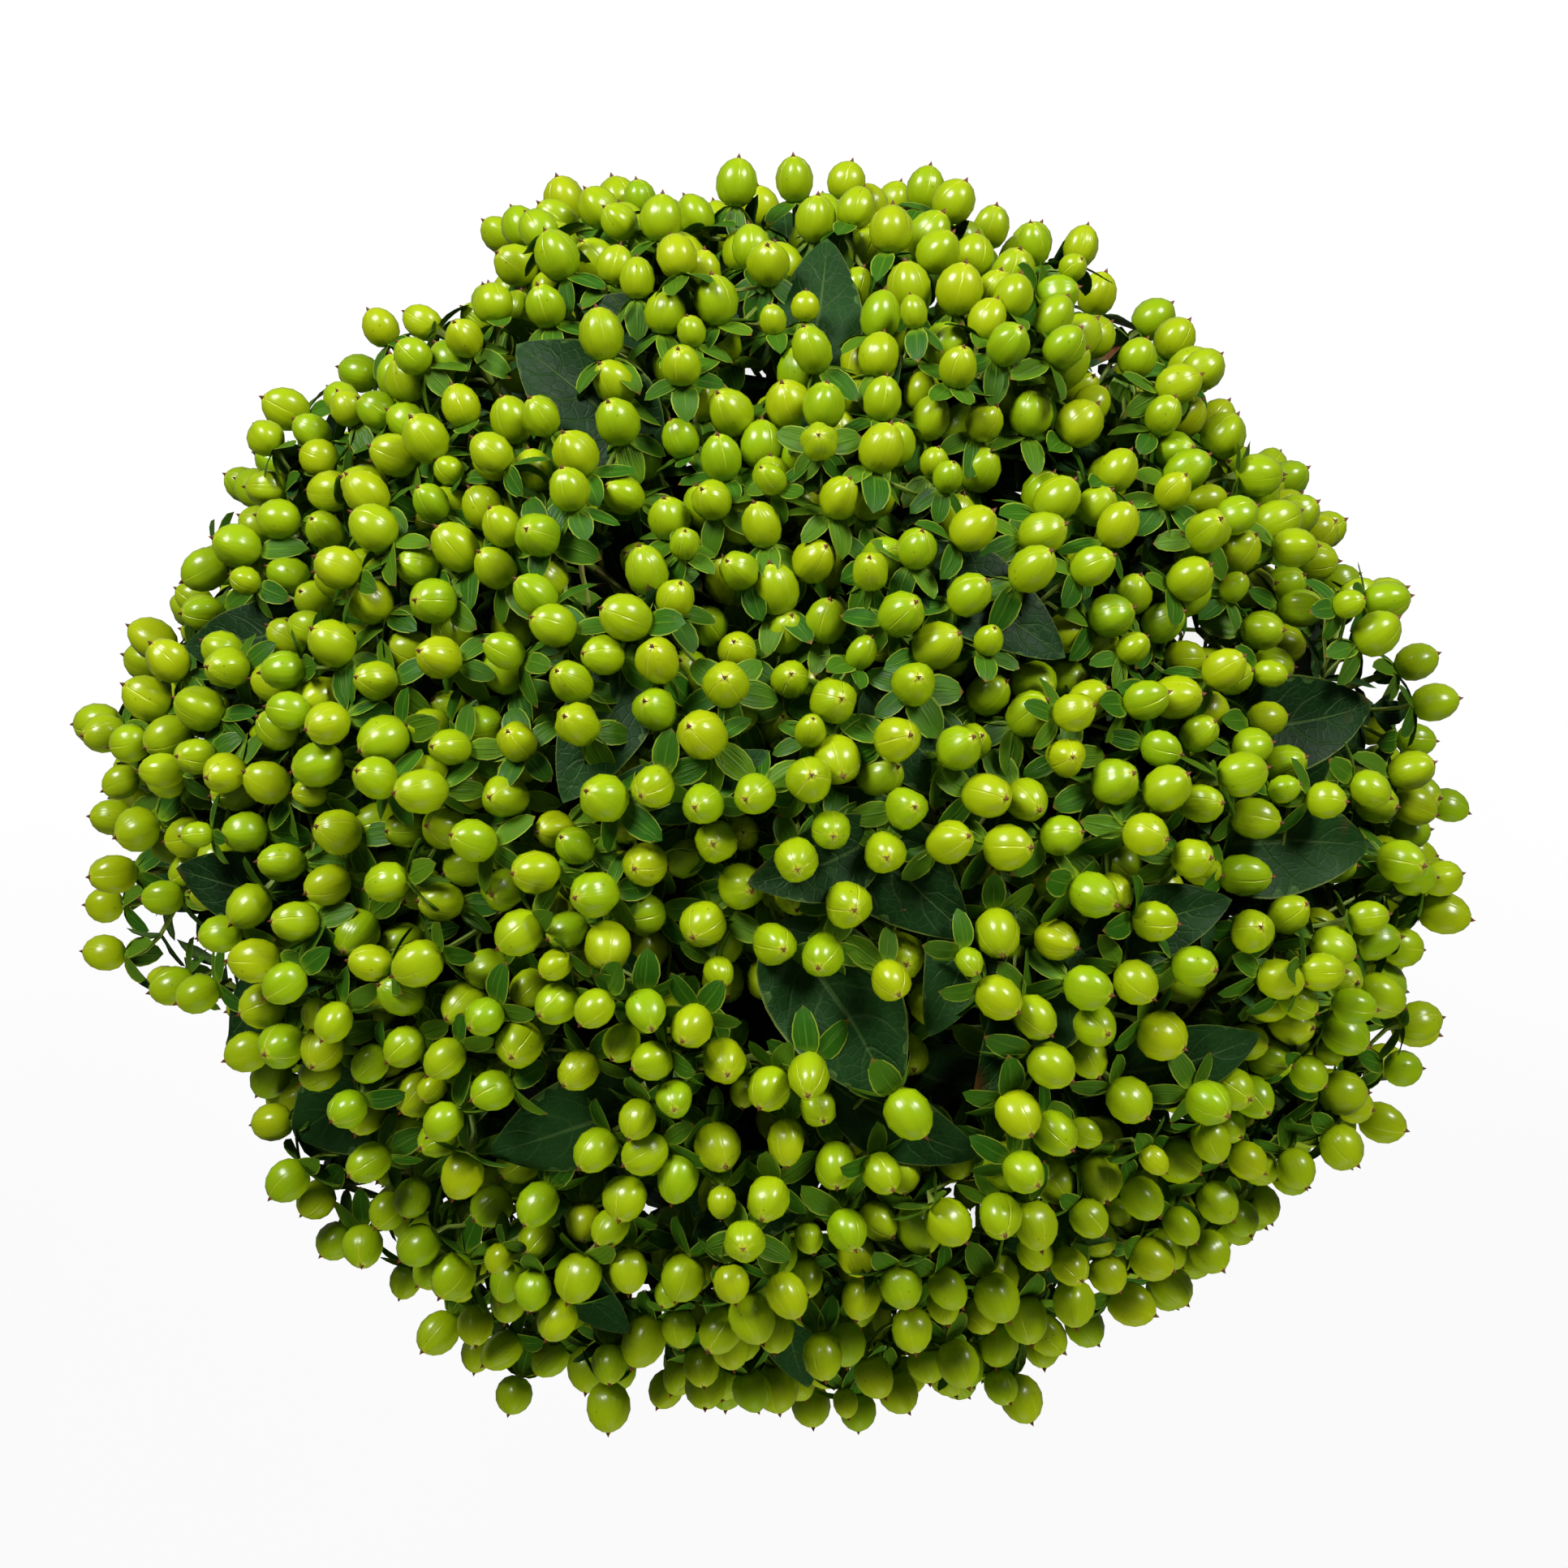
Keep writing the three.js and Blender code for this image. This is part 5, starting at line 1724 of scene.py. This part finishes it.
@dataclass(frozen=True)
class BerrySkin:
    """The waxy skin of a berry, with its seams, its pale rays and its brown beak."""

    deep: Colour = (0.205, 0.36, 0.002, 1)
    bright: Colour = (0.335, 0.415, 0.002, 1)
    pale: Colour = (0.60, 0.66, 0.05, 1)
    speck: Colour = (0.10, 0.09, 0.01, 1)
    beak: Colour = (0.13, 0.04, 0.008, 1)
    roughness: float = 0.27

    def build(self, effects: Effects) -> bpy.types.Material:
        """Builds the material."""
        material, w, shader = surface("berry_skin")
        around, along = w.skin()
        tone, cork = w.mark("tone"), w.mark("cork")
        streak = w.group(effects.fibre, around=around, along=along, tone=tone, density=7.0, length=1.3).outputs[0]
        off_seam = w.math("ABSOLUTE", w.math("SUBTRACT", w.math("FRACT", w.math("ADD", around, 0.5)), 0.5))
        cloud = w.step(w.noise(w.here(), 190.0), 0.35, 0.7)
        seam = w.math("SUBTRACT", 1.0, w.step(off_seam, 0.0, 0.04))
        seam = w.math("MULTIPLY", seam, w.math("MULTIPLY", w.step(along, 0.35, 0.75), w.mark("seam")))
        ray = w.math("SUBTRACT", 1.0, w.step(off_seam, 0.0, 0.2))
        ray = w.math("MULTIPLY", ray, w.step(along, 0.75, 0.97))
        share = w.math("ADD", w.math("MULTIPLY", tone, 0.8), w.math("MULTIPLY", streak, 0.25))
        skin = w.blend(w.step(share, 0.0, 1.0), self.deep, self.bright)
        skin = w.blend(w.math("MULTIPLY", cloud, 0.25), skin, self.bright)
        skin = w.blend(w.math("MULTIPLY", seam, 0.75), skin, self.pale)
        skin = w.blend(w.math("MULTIPLY", ray, 0.35), skin, self.pale)
        skin = w.blend(w.math("MULTIPLY", w.step(along, 0.9, 0.95), 0.4), skin, self.pale)
        crack = w.math("MULTIPLY", w.math("SUBTRACT", 1.0, w.step(off_seam, 0.04, 0.12)), w.step(along, 0.9, 0.96))
        skin = w.blend(w.math("MULTIPLY", crack, 0.75), skin, self.beak)
        specks = w.group(effects.specks, scale=520.0, radius=0.17, share=0.12).outputs[0]
        skin = w.blend(w.math("MULTIPLY", specks, 0.7), skin, self.speck)
        w.feed(shader.inputs["Base Color"], w.blend(cork, skin, self.beak))
        rough = w.math("ADD", self.roughness - 0.06, w.math("MULTIPLY", streak, 0.14))
        w.feed(shader.inputs["Roughness"], w.math("ADD", rough, w.math("MULTIPLY", cork, 0.4)))
        shader.inputs["Specular IOR Level"].default_value = 0.42
        shader.inputs["Coat Weight"].default_value = 0.12
        shader.inputs["Coat Roughness"].default_value = 0.12
        wavy = w.math("MULTIPLY", streak, 0.35)
        relief(w, shader, w.math("SUBTRACT", wavy, w.math("MULTIPLY", seam, 0.8)), 0.0006, 0.55)
        return material


@dataclass(frozen=True)
class SepalSkin:
    """A sepal: dark green, yellow-green at its foot, with long veins and a yellow rim."""

    blade: Colour = (0.022, 0.095, 0.004, 1)
    foot: Colour = (0.18, 0.31, 0.008, 1)
    vein: Colour = (0.08, 0.19, 0.012, 1)
    rim: Colour = (0.28, 0.36, 0.03, 1)
    burnt: Colour = (0.24, 0.09, 0.02, 1)
    under: Colour = (0.07, 0.15, 0.018, 1)

    def build(self, effects: Effects) -> bpy.types.Material:
        """Builds the material."""
        material, w, shader = surface("sepal_skin")
        around, along = w.skin()
        tone, under = w.mark("tone"), w.mark("under")
        lines = w.group(effects.fibre, around=around, along=along, tone=tone, density=15.0, length=1.1).outputs[0]
        lines = w.step(lines, 0.5, 0.68)
        veins = w.group(effects.veins, across=around, along=along, ribs=3.0, lean=0.6, thickness=0.1, rim=0.87)
        skin = w.blend(w.math("MULTIPLY", w.math("POWER", tone, 2.0), 0.4), self.blade, self.foot)
        skin = w.blend(w.math("SUBTRACT", 1.0, w.step(along, 0.0, 0.34)), skin, self.foot)
        skin = w.blend(w.math("MULTIPLY", lines, 0.4), skin, self.vein)
        skin = w.blend(w.math("MULTIPLY", veins.outputs["Midrib"], 0.6), skin, self.vein)
        skin = w.blend(w.math("MULTIPLY", under, 0.6), skin, self.under)
        skin = w.blend(w.math("MULTIPLY", veins.outputs["Margin"], 0.7), skin, self.rim)
        burnt = w.math("MULTIPLY", w.step(along, 0.9, 1.0), w.step(w.noise(w.here(), 60.0), 0.46, 0.62))
        skin = w.blend(burnt, skin, self.burnt)
        specks = w.group(effects.specks, scale=600.0, radius=0.18, share=0.08).outputs[0]
        skin = w.blend(w.math("MULTIPLY", specks, 0.6), skin, self.burnt)
        w.feed(shader.inputs["Base Color"], skin)
        shader.inputs["Roughness"].default_value = 0.42
        shader.inputs["Specular IOR Level"].default_value = 0.13
        relief(w, shader, w.math("ADD", lines, veins.outputs["Midrib"]), 0.0004, 0.5)
        return material


@dataclass(frozen=True)
class LeafSkin:
    """A leaf: dark, matt and a little blue, with a pale midrib and side ribs, paler underneath."""

    dark: Colour = (0.0045, 0.022, 0.004, 1)
    mid: Colour = (0.012, 0.048, 0.008, 1)
    vein: Colour = (0.06, 0.115, 0.025, 1)
    rim: Colour = (0.15, 0.20, 0.03, 1)
    under: Colour = (0.10, 0.19, 0.04, 1)
    burnt: Colour = (0.20, 0.055, 0.02, 1)

    def build(self, effects: Effects) -> bpy.types.Material:
        """Builds the material."""
        material, w, shader = surface("leaf_skin")
        around, along = w.skin()
        tone, under = w.mark("tone"), w.mark("under")
        veins = w.group(effects.veins, across=around, along=along, ribs=6.0, lean=1.7, thickness=0.05, rim=0.945)
        cloud = w.noise(w.here(), 70.0, 4.0)
        mesh_veins = w.add("ShaderNodeTexVoronoi", {"Vector": w.here(), "Scale": 380.0}, feature="DISTANCE_TO_EDGE")
        net = w.math("SUBTRACT", 1.0, w.step(mesh_veins.outputs["Distance"], 0.0, 0.12))
        share = w.math("ADD", w.math("MULTIPLY", tone, 0.6), w.math("MULTIPLY", cloud, 0.5))
        skin = w.blend(w.step(share, 0.15, 0.95), self.dark, self.mid)
        skin = w.blend(w.math("MULTIPLY", net, 0.1), skin, self.vein)
        skin = w.blend(w.math("MULTIPLY", under, 0.85), skin, self.under)
        skin = w.blend(w.math("MULTIPLY", veins.outputs["Side Ribs"], 0.2), skin, self.vein)
        skin = w.blend(w.math("MULTIPLY", veins.outputs["Midrib"], 0.6), skin, self.vein)
        skin = w.blend(w.math("MULTIPLY", veins.outputs["Margin"], 0.6), skin, self.rim)
        burnt = w.math("MULTIPLY", w.step(along, 0.8, 0.97), w.step(w.noise(w.here(), 45.0), 0.6, 0.7))
        skin = w.blend(w.math("MULTIPLY", burnt, 0.8), skin, self.burnt)
        specks = w.group(effects.specks, scale=330.0, radius=0.16, share=0.05).outputs[0]
        w.feed(shader.inputs["Base Color"], w.blend(w.math("MULTIPLY", specks, 0.5), skin, self.vein))
        w.feed(shader.inputs["Roughness"], w.math("ADD", 0.42, w.math("MULTIPLY", cloud, 0.2)))
        shader.inputs["Specular IOR Level"].default_value = 0.12
        hollow = w.math("ADD", w.math("MULTIPLY", net, 0.3), veins.outputs["Side Ribs"])
        relief(w, shader, w.math("SUBTRACT", 1.0, w.math("ADD", hollow, veins.outputs["Midrib"])), 0.0006, 0.4)
        return material


@dataclass(frozen=True)
class Bark:
    """Thin bark: green when young, brown when old, reddish at the knots, pale where it is cut."""

    young: Colour = (0.17, 0.26, 0.02, 1)
    old: Colour = (0.21, 0.115, 0.045, 1)
    knot: Colour = (0.17, 0.06, 0.025, 1)
    streak: Colour = (0.34, 0.24, 0.11, 1)
    cut: Colour = (0.62, 0.60, 0.36, 1)

    def build(self, effects: Effects) -> bpy.types.Material:
        """Builds the material."""
        material, w, shader = surface("bark_skin")
        around, along = w.skin()
        tone = w.mark("tone")
        streak = w.group(effects.fibre, around=around, along=along, tone=tone, density=8.0, length=26.0).outputs[0]
        cloud = w.noise(w.here(), 55.0, 3.0)
        age = w.math("ADD", w.mark("age"), w.math("MULTIPLY", w.math("SUBTRACT", cloud, 0.5), 0.7))
        age = w.math("ADD", age, w.math("MULTIPLY", w.math("SUBTRACT", tone, 0.5), 0.6))
        skin = w.blend(w.step(age, 0.15, 1.15), self.young, self.old)
        skin = w.blend(w.math("MULTIPLY", w.step(streak, 0.5, 0.75), 0.5), skin, self.streak)
        skin = w.blend(w.math("MULTIPLY", w.mark("knot"), 0.6), skin, self.knot)
        specks = w.group(effects.specks, scale=300.0, radius=0.22, share=0.2).outputs[0]
        skin = w.blend(w.math("MULTIPLY", specks, 0.45), skin, self.streak)
        w.feed(shader.inputs["Base Color"], w.blend(w.mark("cut"), skin, self.cut))
        w.feed(shader.inputs["Roughness"], w.math("ADD", 0.5, w.math("MULTIPLY", streak, 0.25)))
        relief(w, shader, w.math("ADD", streak, specks), 0.0005, 0.5)
        return material


@dataclass(frozen=True)
class Jute:
    """Rough twisted twine."""

    dark: Colour = (0.20, 0.12, 0.05, 1)
    light: Colour = (0.52, 0.37, 0.19, 1)

    def build(self, effects: Effects) -> bpy.types.Material:
        """Builds the material."""
        material, w, shader = surface("twine_jute")
        around, along = w.skin()
        tone = w.mark("tone")
        hair = w.group(effects.fibre, around=around, along=along, tone=tone, density=12.0, length=150.0).outputs[0]
        fine = w.noise(w.here(), 1500.0, 3.0)
        share = w.math("ADD", w.math("MULTIPLY", hair, 0.7), w.math("MULTIPLY", fine, 0.4))
        w.feed(shader.inputs["Base Color"], w.blend(w.step(share, 0.3, 0.8), self.dark, self.light))
        shader.inputs["Roughness"].default_value = 0.9
        relief(w, shader, share, 0.0004, 0.7)
        return material


# ---------------------------------------------------------------- pieces


@dataclass
class Finishes:
    """The bunch's materials."""

    berry: bpy.types.Material
    sepal: bpy.types.Material
    leaf: bpy.types.Material
    bark: bpy.types.Material
    twine: bpy.types.Material

    @classmethod
    def build(cls) -> "Finishes":
        """Builds them all."""
        effects = Effects()
        makers = (BerrySkin(), SepalSkin(), LeafSkin(), Bark(), Jute())
        return cls(*(maker.build(effects) for maker in makers))


@dataclass
class Spray:
    """One branch in its pieces: wood, leaves, sepals and berries."""

    branch: Branch
    number: int
    crop: Crop
    all_berries: Crop
    extra: list[Leaf]
    finishes: Finishes
    foliage: Foliage = field(default_factory=Foliage)
    wood: Wood = field(default_factory=Wood)

    def build(self) -> list[bpy.types.Object]:
        """Builds the branch's pieces and puts them in place of its solid.

        Returns:
            The pieces.
        """
        chance = np.random.default_rng(1000 + self.number)
        pieces = [
            (self._wood(chance), Slot.BARK),
            (self._leaves(chance), Slot.LEAF),
            (self._sepals(chance), Slot.SEPAL),
            (self._berries(), Slot.BERRY),
        ]
        for piece, slot in pieces:
            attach(piece, "root")
            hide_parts(self.branch.node)
        return [piece for piece, _ in pieces]

    def _name(self, part: str) -> str:
        """A piece's name."""
        return f"{self.branch.node}_{part}"

    def _wood(self, chance: np.random.Generator) -> bpy.types.Object:
        """The stem, the twigs, the berries' stalks and the large leaves' stalks."""
        shell = Shell("age", "tone", "cut", "knot")
        shell.add(self.wood.stem(self.branch, chance))
        bearer = self.crop.bearer
        shell.add(self.wood.twigs(self.crop.stalk[bearer == Bearer.TWIG], 0.8, chance))
        shell.add(self.wood.stalks(self.crop.stalk[bearer >= Bearer.STALK], chance))
        stalks = [(self.branch.on_curve(fork)[0], leaf) for leaf, fork in self.branch.head_leaves]
        if stalks:
            shell.add(self.wood.leaf_stalks(stalks, chance))
        return shell.build(self._name("wood"), self.finishes.bark, 50)

    def _leaves(self, chance: np.random.Generator) -> bpy.types.Object:
        """The large leaves, the stem's leaves and the bracts at the forks."""
        shell = Shell("under", "tone")
        large = [leaf for leaf, _ in self.branch.head_leaves]
        for leaf, back in zip(self.branch.leaves, self.branch.leaf_forks):
            leaf.root = leaf.root + 0.5 * (self.branch.on_curve(back)[0] - leaf.root)
        if large:
            shell.add(self.foliage.leaf_tubes(self.foliage.large, large, chance))
        shell.add(self.foliage.leaf_tubes(self.foliage.small, self.branch.leaves + self.extra, chance))
        shell.add(self.foliage.bracts(self.crop.stalk[self.crop.bearer <= Bearer.TWIG], chance))
        return shell.build(self._name("leaves"), self.finishes.leaf, 60)

    def _sepals(self, chance: np.random.Generator) -> bpy.types.Object:
        """The sepals of all the branch's berries."""
        shell = Shell("under", "tone")
        near = self.all_berries.near(self.crop.foot, self.foliage.sepal_reach)
        shell.add(self.foliage.calyxes(self.crop.foot, self.crop.axis, self.crop.size, near, chance))
        return shell.build(self._name("sepals"), self.finishes.sepal, 60)

    def _berries(self) -> bpy.types.Object:
        """The branch's berries with their beaks. Those on spurs have fewer faces."""
        shell = Shell("tone", "cork", "seam")
        is_spur = self.crop.bearer == Bearer.SPUR
        for shape, chosen, seed in ((BerryShape(), ~is_spur, 2000), (BerryShape(15, PLAIN_RINGS), is_spur, 3000)):
            part = self.crop.of(chosen)
            made = shape.build(part.centre, part.axis, part.size, seed + self.number)
            shell.add(made)
            shell.add(shape.beaks(made, part.axis, part.size))
        return shell.build(self._name("berries"), self.finishes.berry, None)


# ---------------------------------------------------------------- the studio


@dataclass(frozen=True)
class Lamp:
    """A soft square lamp: its place, its width in metres, its power, and whether gloss mirrors it."""

    name: str
    place: tuple[float, float, float]
    width: float
    power: float
    glints: bool = True


@dataclass
class Studio:
    """A camera straight above the bunch, a pale floor with a painted shadow under the bunch, and soft lamps. Lengths
    are metres.
    """

    camera_over: tuple[float, float] = (0.0032, 0.0018)
    widest_height: float = 0.332
    distance: float = 0.9
    frame_width: float = 0.4394
    sensor: float = 36.0
    floor_width: float = 6.0
    floor_glow: float = 0.88
    # painted shadow on the floor: how far out from the axis it reaches, in metres, and how much of the glow it takes
    # away at the middle
    painted_shadow_reach: float = 0.24
    painted_shadow_depth: float = 0.55
    sky: float = 0.045
    backdrop: float = 0.9
    lamps: tuple[Lamp, ...] = (
        Lamp("key", (-0.7, 0.9, 1.3), 0.5, 25.0),
        Lamp("fill", (0.8, 0.9, 1.3), 0.42, 19.0),
        Lamp("over", (0.0, -0.3, 2.1), 1.3, 0.7, glints=False),
        Lamp("front", (0.25, -1.4, 0.55), 0.9, 17.0, glints=False),
    )
    aim: tuple[float, float, float] = (0.0, 0.0, 0.38)

    def build(self) -> None:
        """Sets the studio up."""
        self._camera()
        self._floor()
        self._light()
        bpy.context.scene.view_settings.view_transform = "Standard"
        bpy.context.scene.view_settings.look = "None"

    def _camera(self) -> None:
        """The camera looks straight down, with +Y up in its frame."""
        lens = bpy.data.cameras.new("camera")
        lens.sensor_width = self.sensor
        lens.lens = self.sensor * self.distance / self.frame_width
        lens.clip_end = 20
        camera = bpy.data.objects.new("camera", lens)
        camera.location = (*self.camera_over, self.widest_height + self.distance)
        bpy.context.scene.collection.objects.link(camera)
        bpy.context.scene.camera = camera

    def _floor(self) -> None:
        """A wide pale floor that the bunch stands on. It looks lit from below, except for a painted shadow: its glow
        is darker under the bunch.
        """
        half = 0.5 * self.floor_width
        corners = [(-half, -half, 0), (half, -half, 0), (half, half, 0), (-half, half, 0)]
        mesh = bpy.data.meshes.new("floor")
        mesh.from_pydata(corners, [], [(0, 1, 2, 3)])
        floor = bpy.data.objects.new("floor", mesh)
        bpy.context.scene.collection.objects.link(floor)
        material, w, shader = surface("floor_pale")
        cloud = w.step(w.noise(w.here(), 2.5, 4.0), 0.3, 0.7)
        w.feed(shader.inputs["Base Color"], w.blend(cloud, (0.08, 0.08, 0.08, 1), (0.09, 0.09, 0.09, 1)))
        shader.inputs["Roughness"].default_value = 0.6
        shader.inputs["Specular IOR Level"].default_value = 0.2
        away = w.add("ShaderNodeVectorMath", {0: w.here()}, operation="LENGTH").outputs["Value"]
        is_seen = w.add("ShaderNodeLightPath").outputs["Is Camera Ray"]
        # painted shadow: the glow that the camera sees fades towards the middle, under the bunch
        past_painted_shadow = w.step(away, 0.0, self.painted_shadow_reach)
        painted_shadow_glow = w.math("MULTIPLY_ADD", past_painted_shadow, self.painted_shadow_depth, 1 - self.painted_shadow_depth)
        painted_shadow_glow = w.math("MULTIPLY", painted_shadow_glow, is_seen)
        w.feed(shader.inputs["Emission Color"], w.blend(painted_shadow_glow, (0, 0, 0, 1), (1, 1, 1, 1)))
        shader.inputs["Emission Strength"].default_value = self.floor_glow
        mesh.materials.append(material)

    def _light(self) -> None:
        """A dim sky that looks pale, and the lamps, each turned to the bunch's head."""
        world = bpy.data.worlds.new("sky")
        world.use_nodes = True
        w = Wiring(world.node_tree)
        background = world.node_tree.nodes["Background"]
        background.inputs["Color"].default_value = (1, 1, 1, 1)
        seen = w.math("MULTIPLY", w.add("ShaderNodeLightPath").outputs["Is Camera Ray"], self.backdrop - self.sky)
        w.feed(background.inputs["Strength"], w.math("ADD", seen, self.sky))
        bpy.context.scene.world = world
        for lamp in self.lamps:
            light = bpy.data.lights.new(lamp.name, "AREA")
            light.size = lamp.width
            light.energy = lamp.power
            made = bpy.data.objects.new(lamp.name, light)
            made.visible_glossy = lamp.glints
            made.location = lamp.place
            way = made.location - type(made.location)(self.aim)
            made.rotation_euler = way.to_track_quat("Z", "Y").to_euler()
            bpy.context.scene.collection.objects.link(made)


def main() -> None:
    """Builds the bunch's pieces in order, and reports each."""
    logging.basicConfig(level=logging.INFO, format="%(name)s: %(message)s")
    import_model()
    Studio().build()
    finishes = Finishes.build()
    layout = Layout()
    branches = layout.grow()
    held = sum(len(branch.berries) for branch in branches)
    leaves = sum(len(branch.leaves) + len(branch.head_leaves) for branch in branches)
    log.info("the solids hold %d berries and %d leaves", held, leaves)
    crop = Flourish().grow(branches, layout.dome)
    log.info("berries on stems, twigs, stalks and spurs: %s", np.bincount(crop.bearer))
    extra = Foliage().extra_leaves(branches, crop.centre, 77)
    log.info("%d leaves are added", sum(map(len, extra.values())))
    faces = 0
    for number, branch in enumerate(branches):
        own = crop.of(crop.branch == number)
        for piece in Spray(branch, number, own, crop, extra[branch.node], finishes).build():
            triangles = sum(len(face.vertices) - 2 for face in piece.data.polygons)
            faces += triangles
            log.info("%s: %d triangles", piece.name, triangles)
    twine = Tie().build(finishes.twine)
    faces += sum(len(face.vertices) - 2 for face in twine.data.polygons)
    log.info("tie_twine is on; %d triangles in all", faces)


if __name__ == "__main__":
    main()
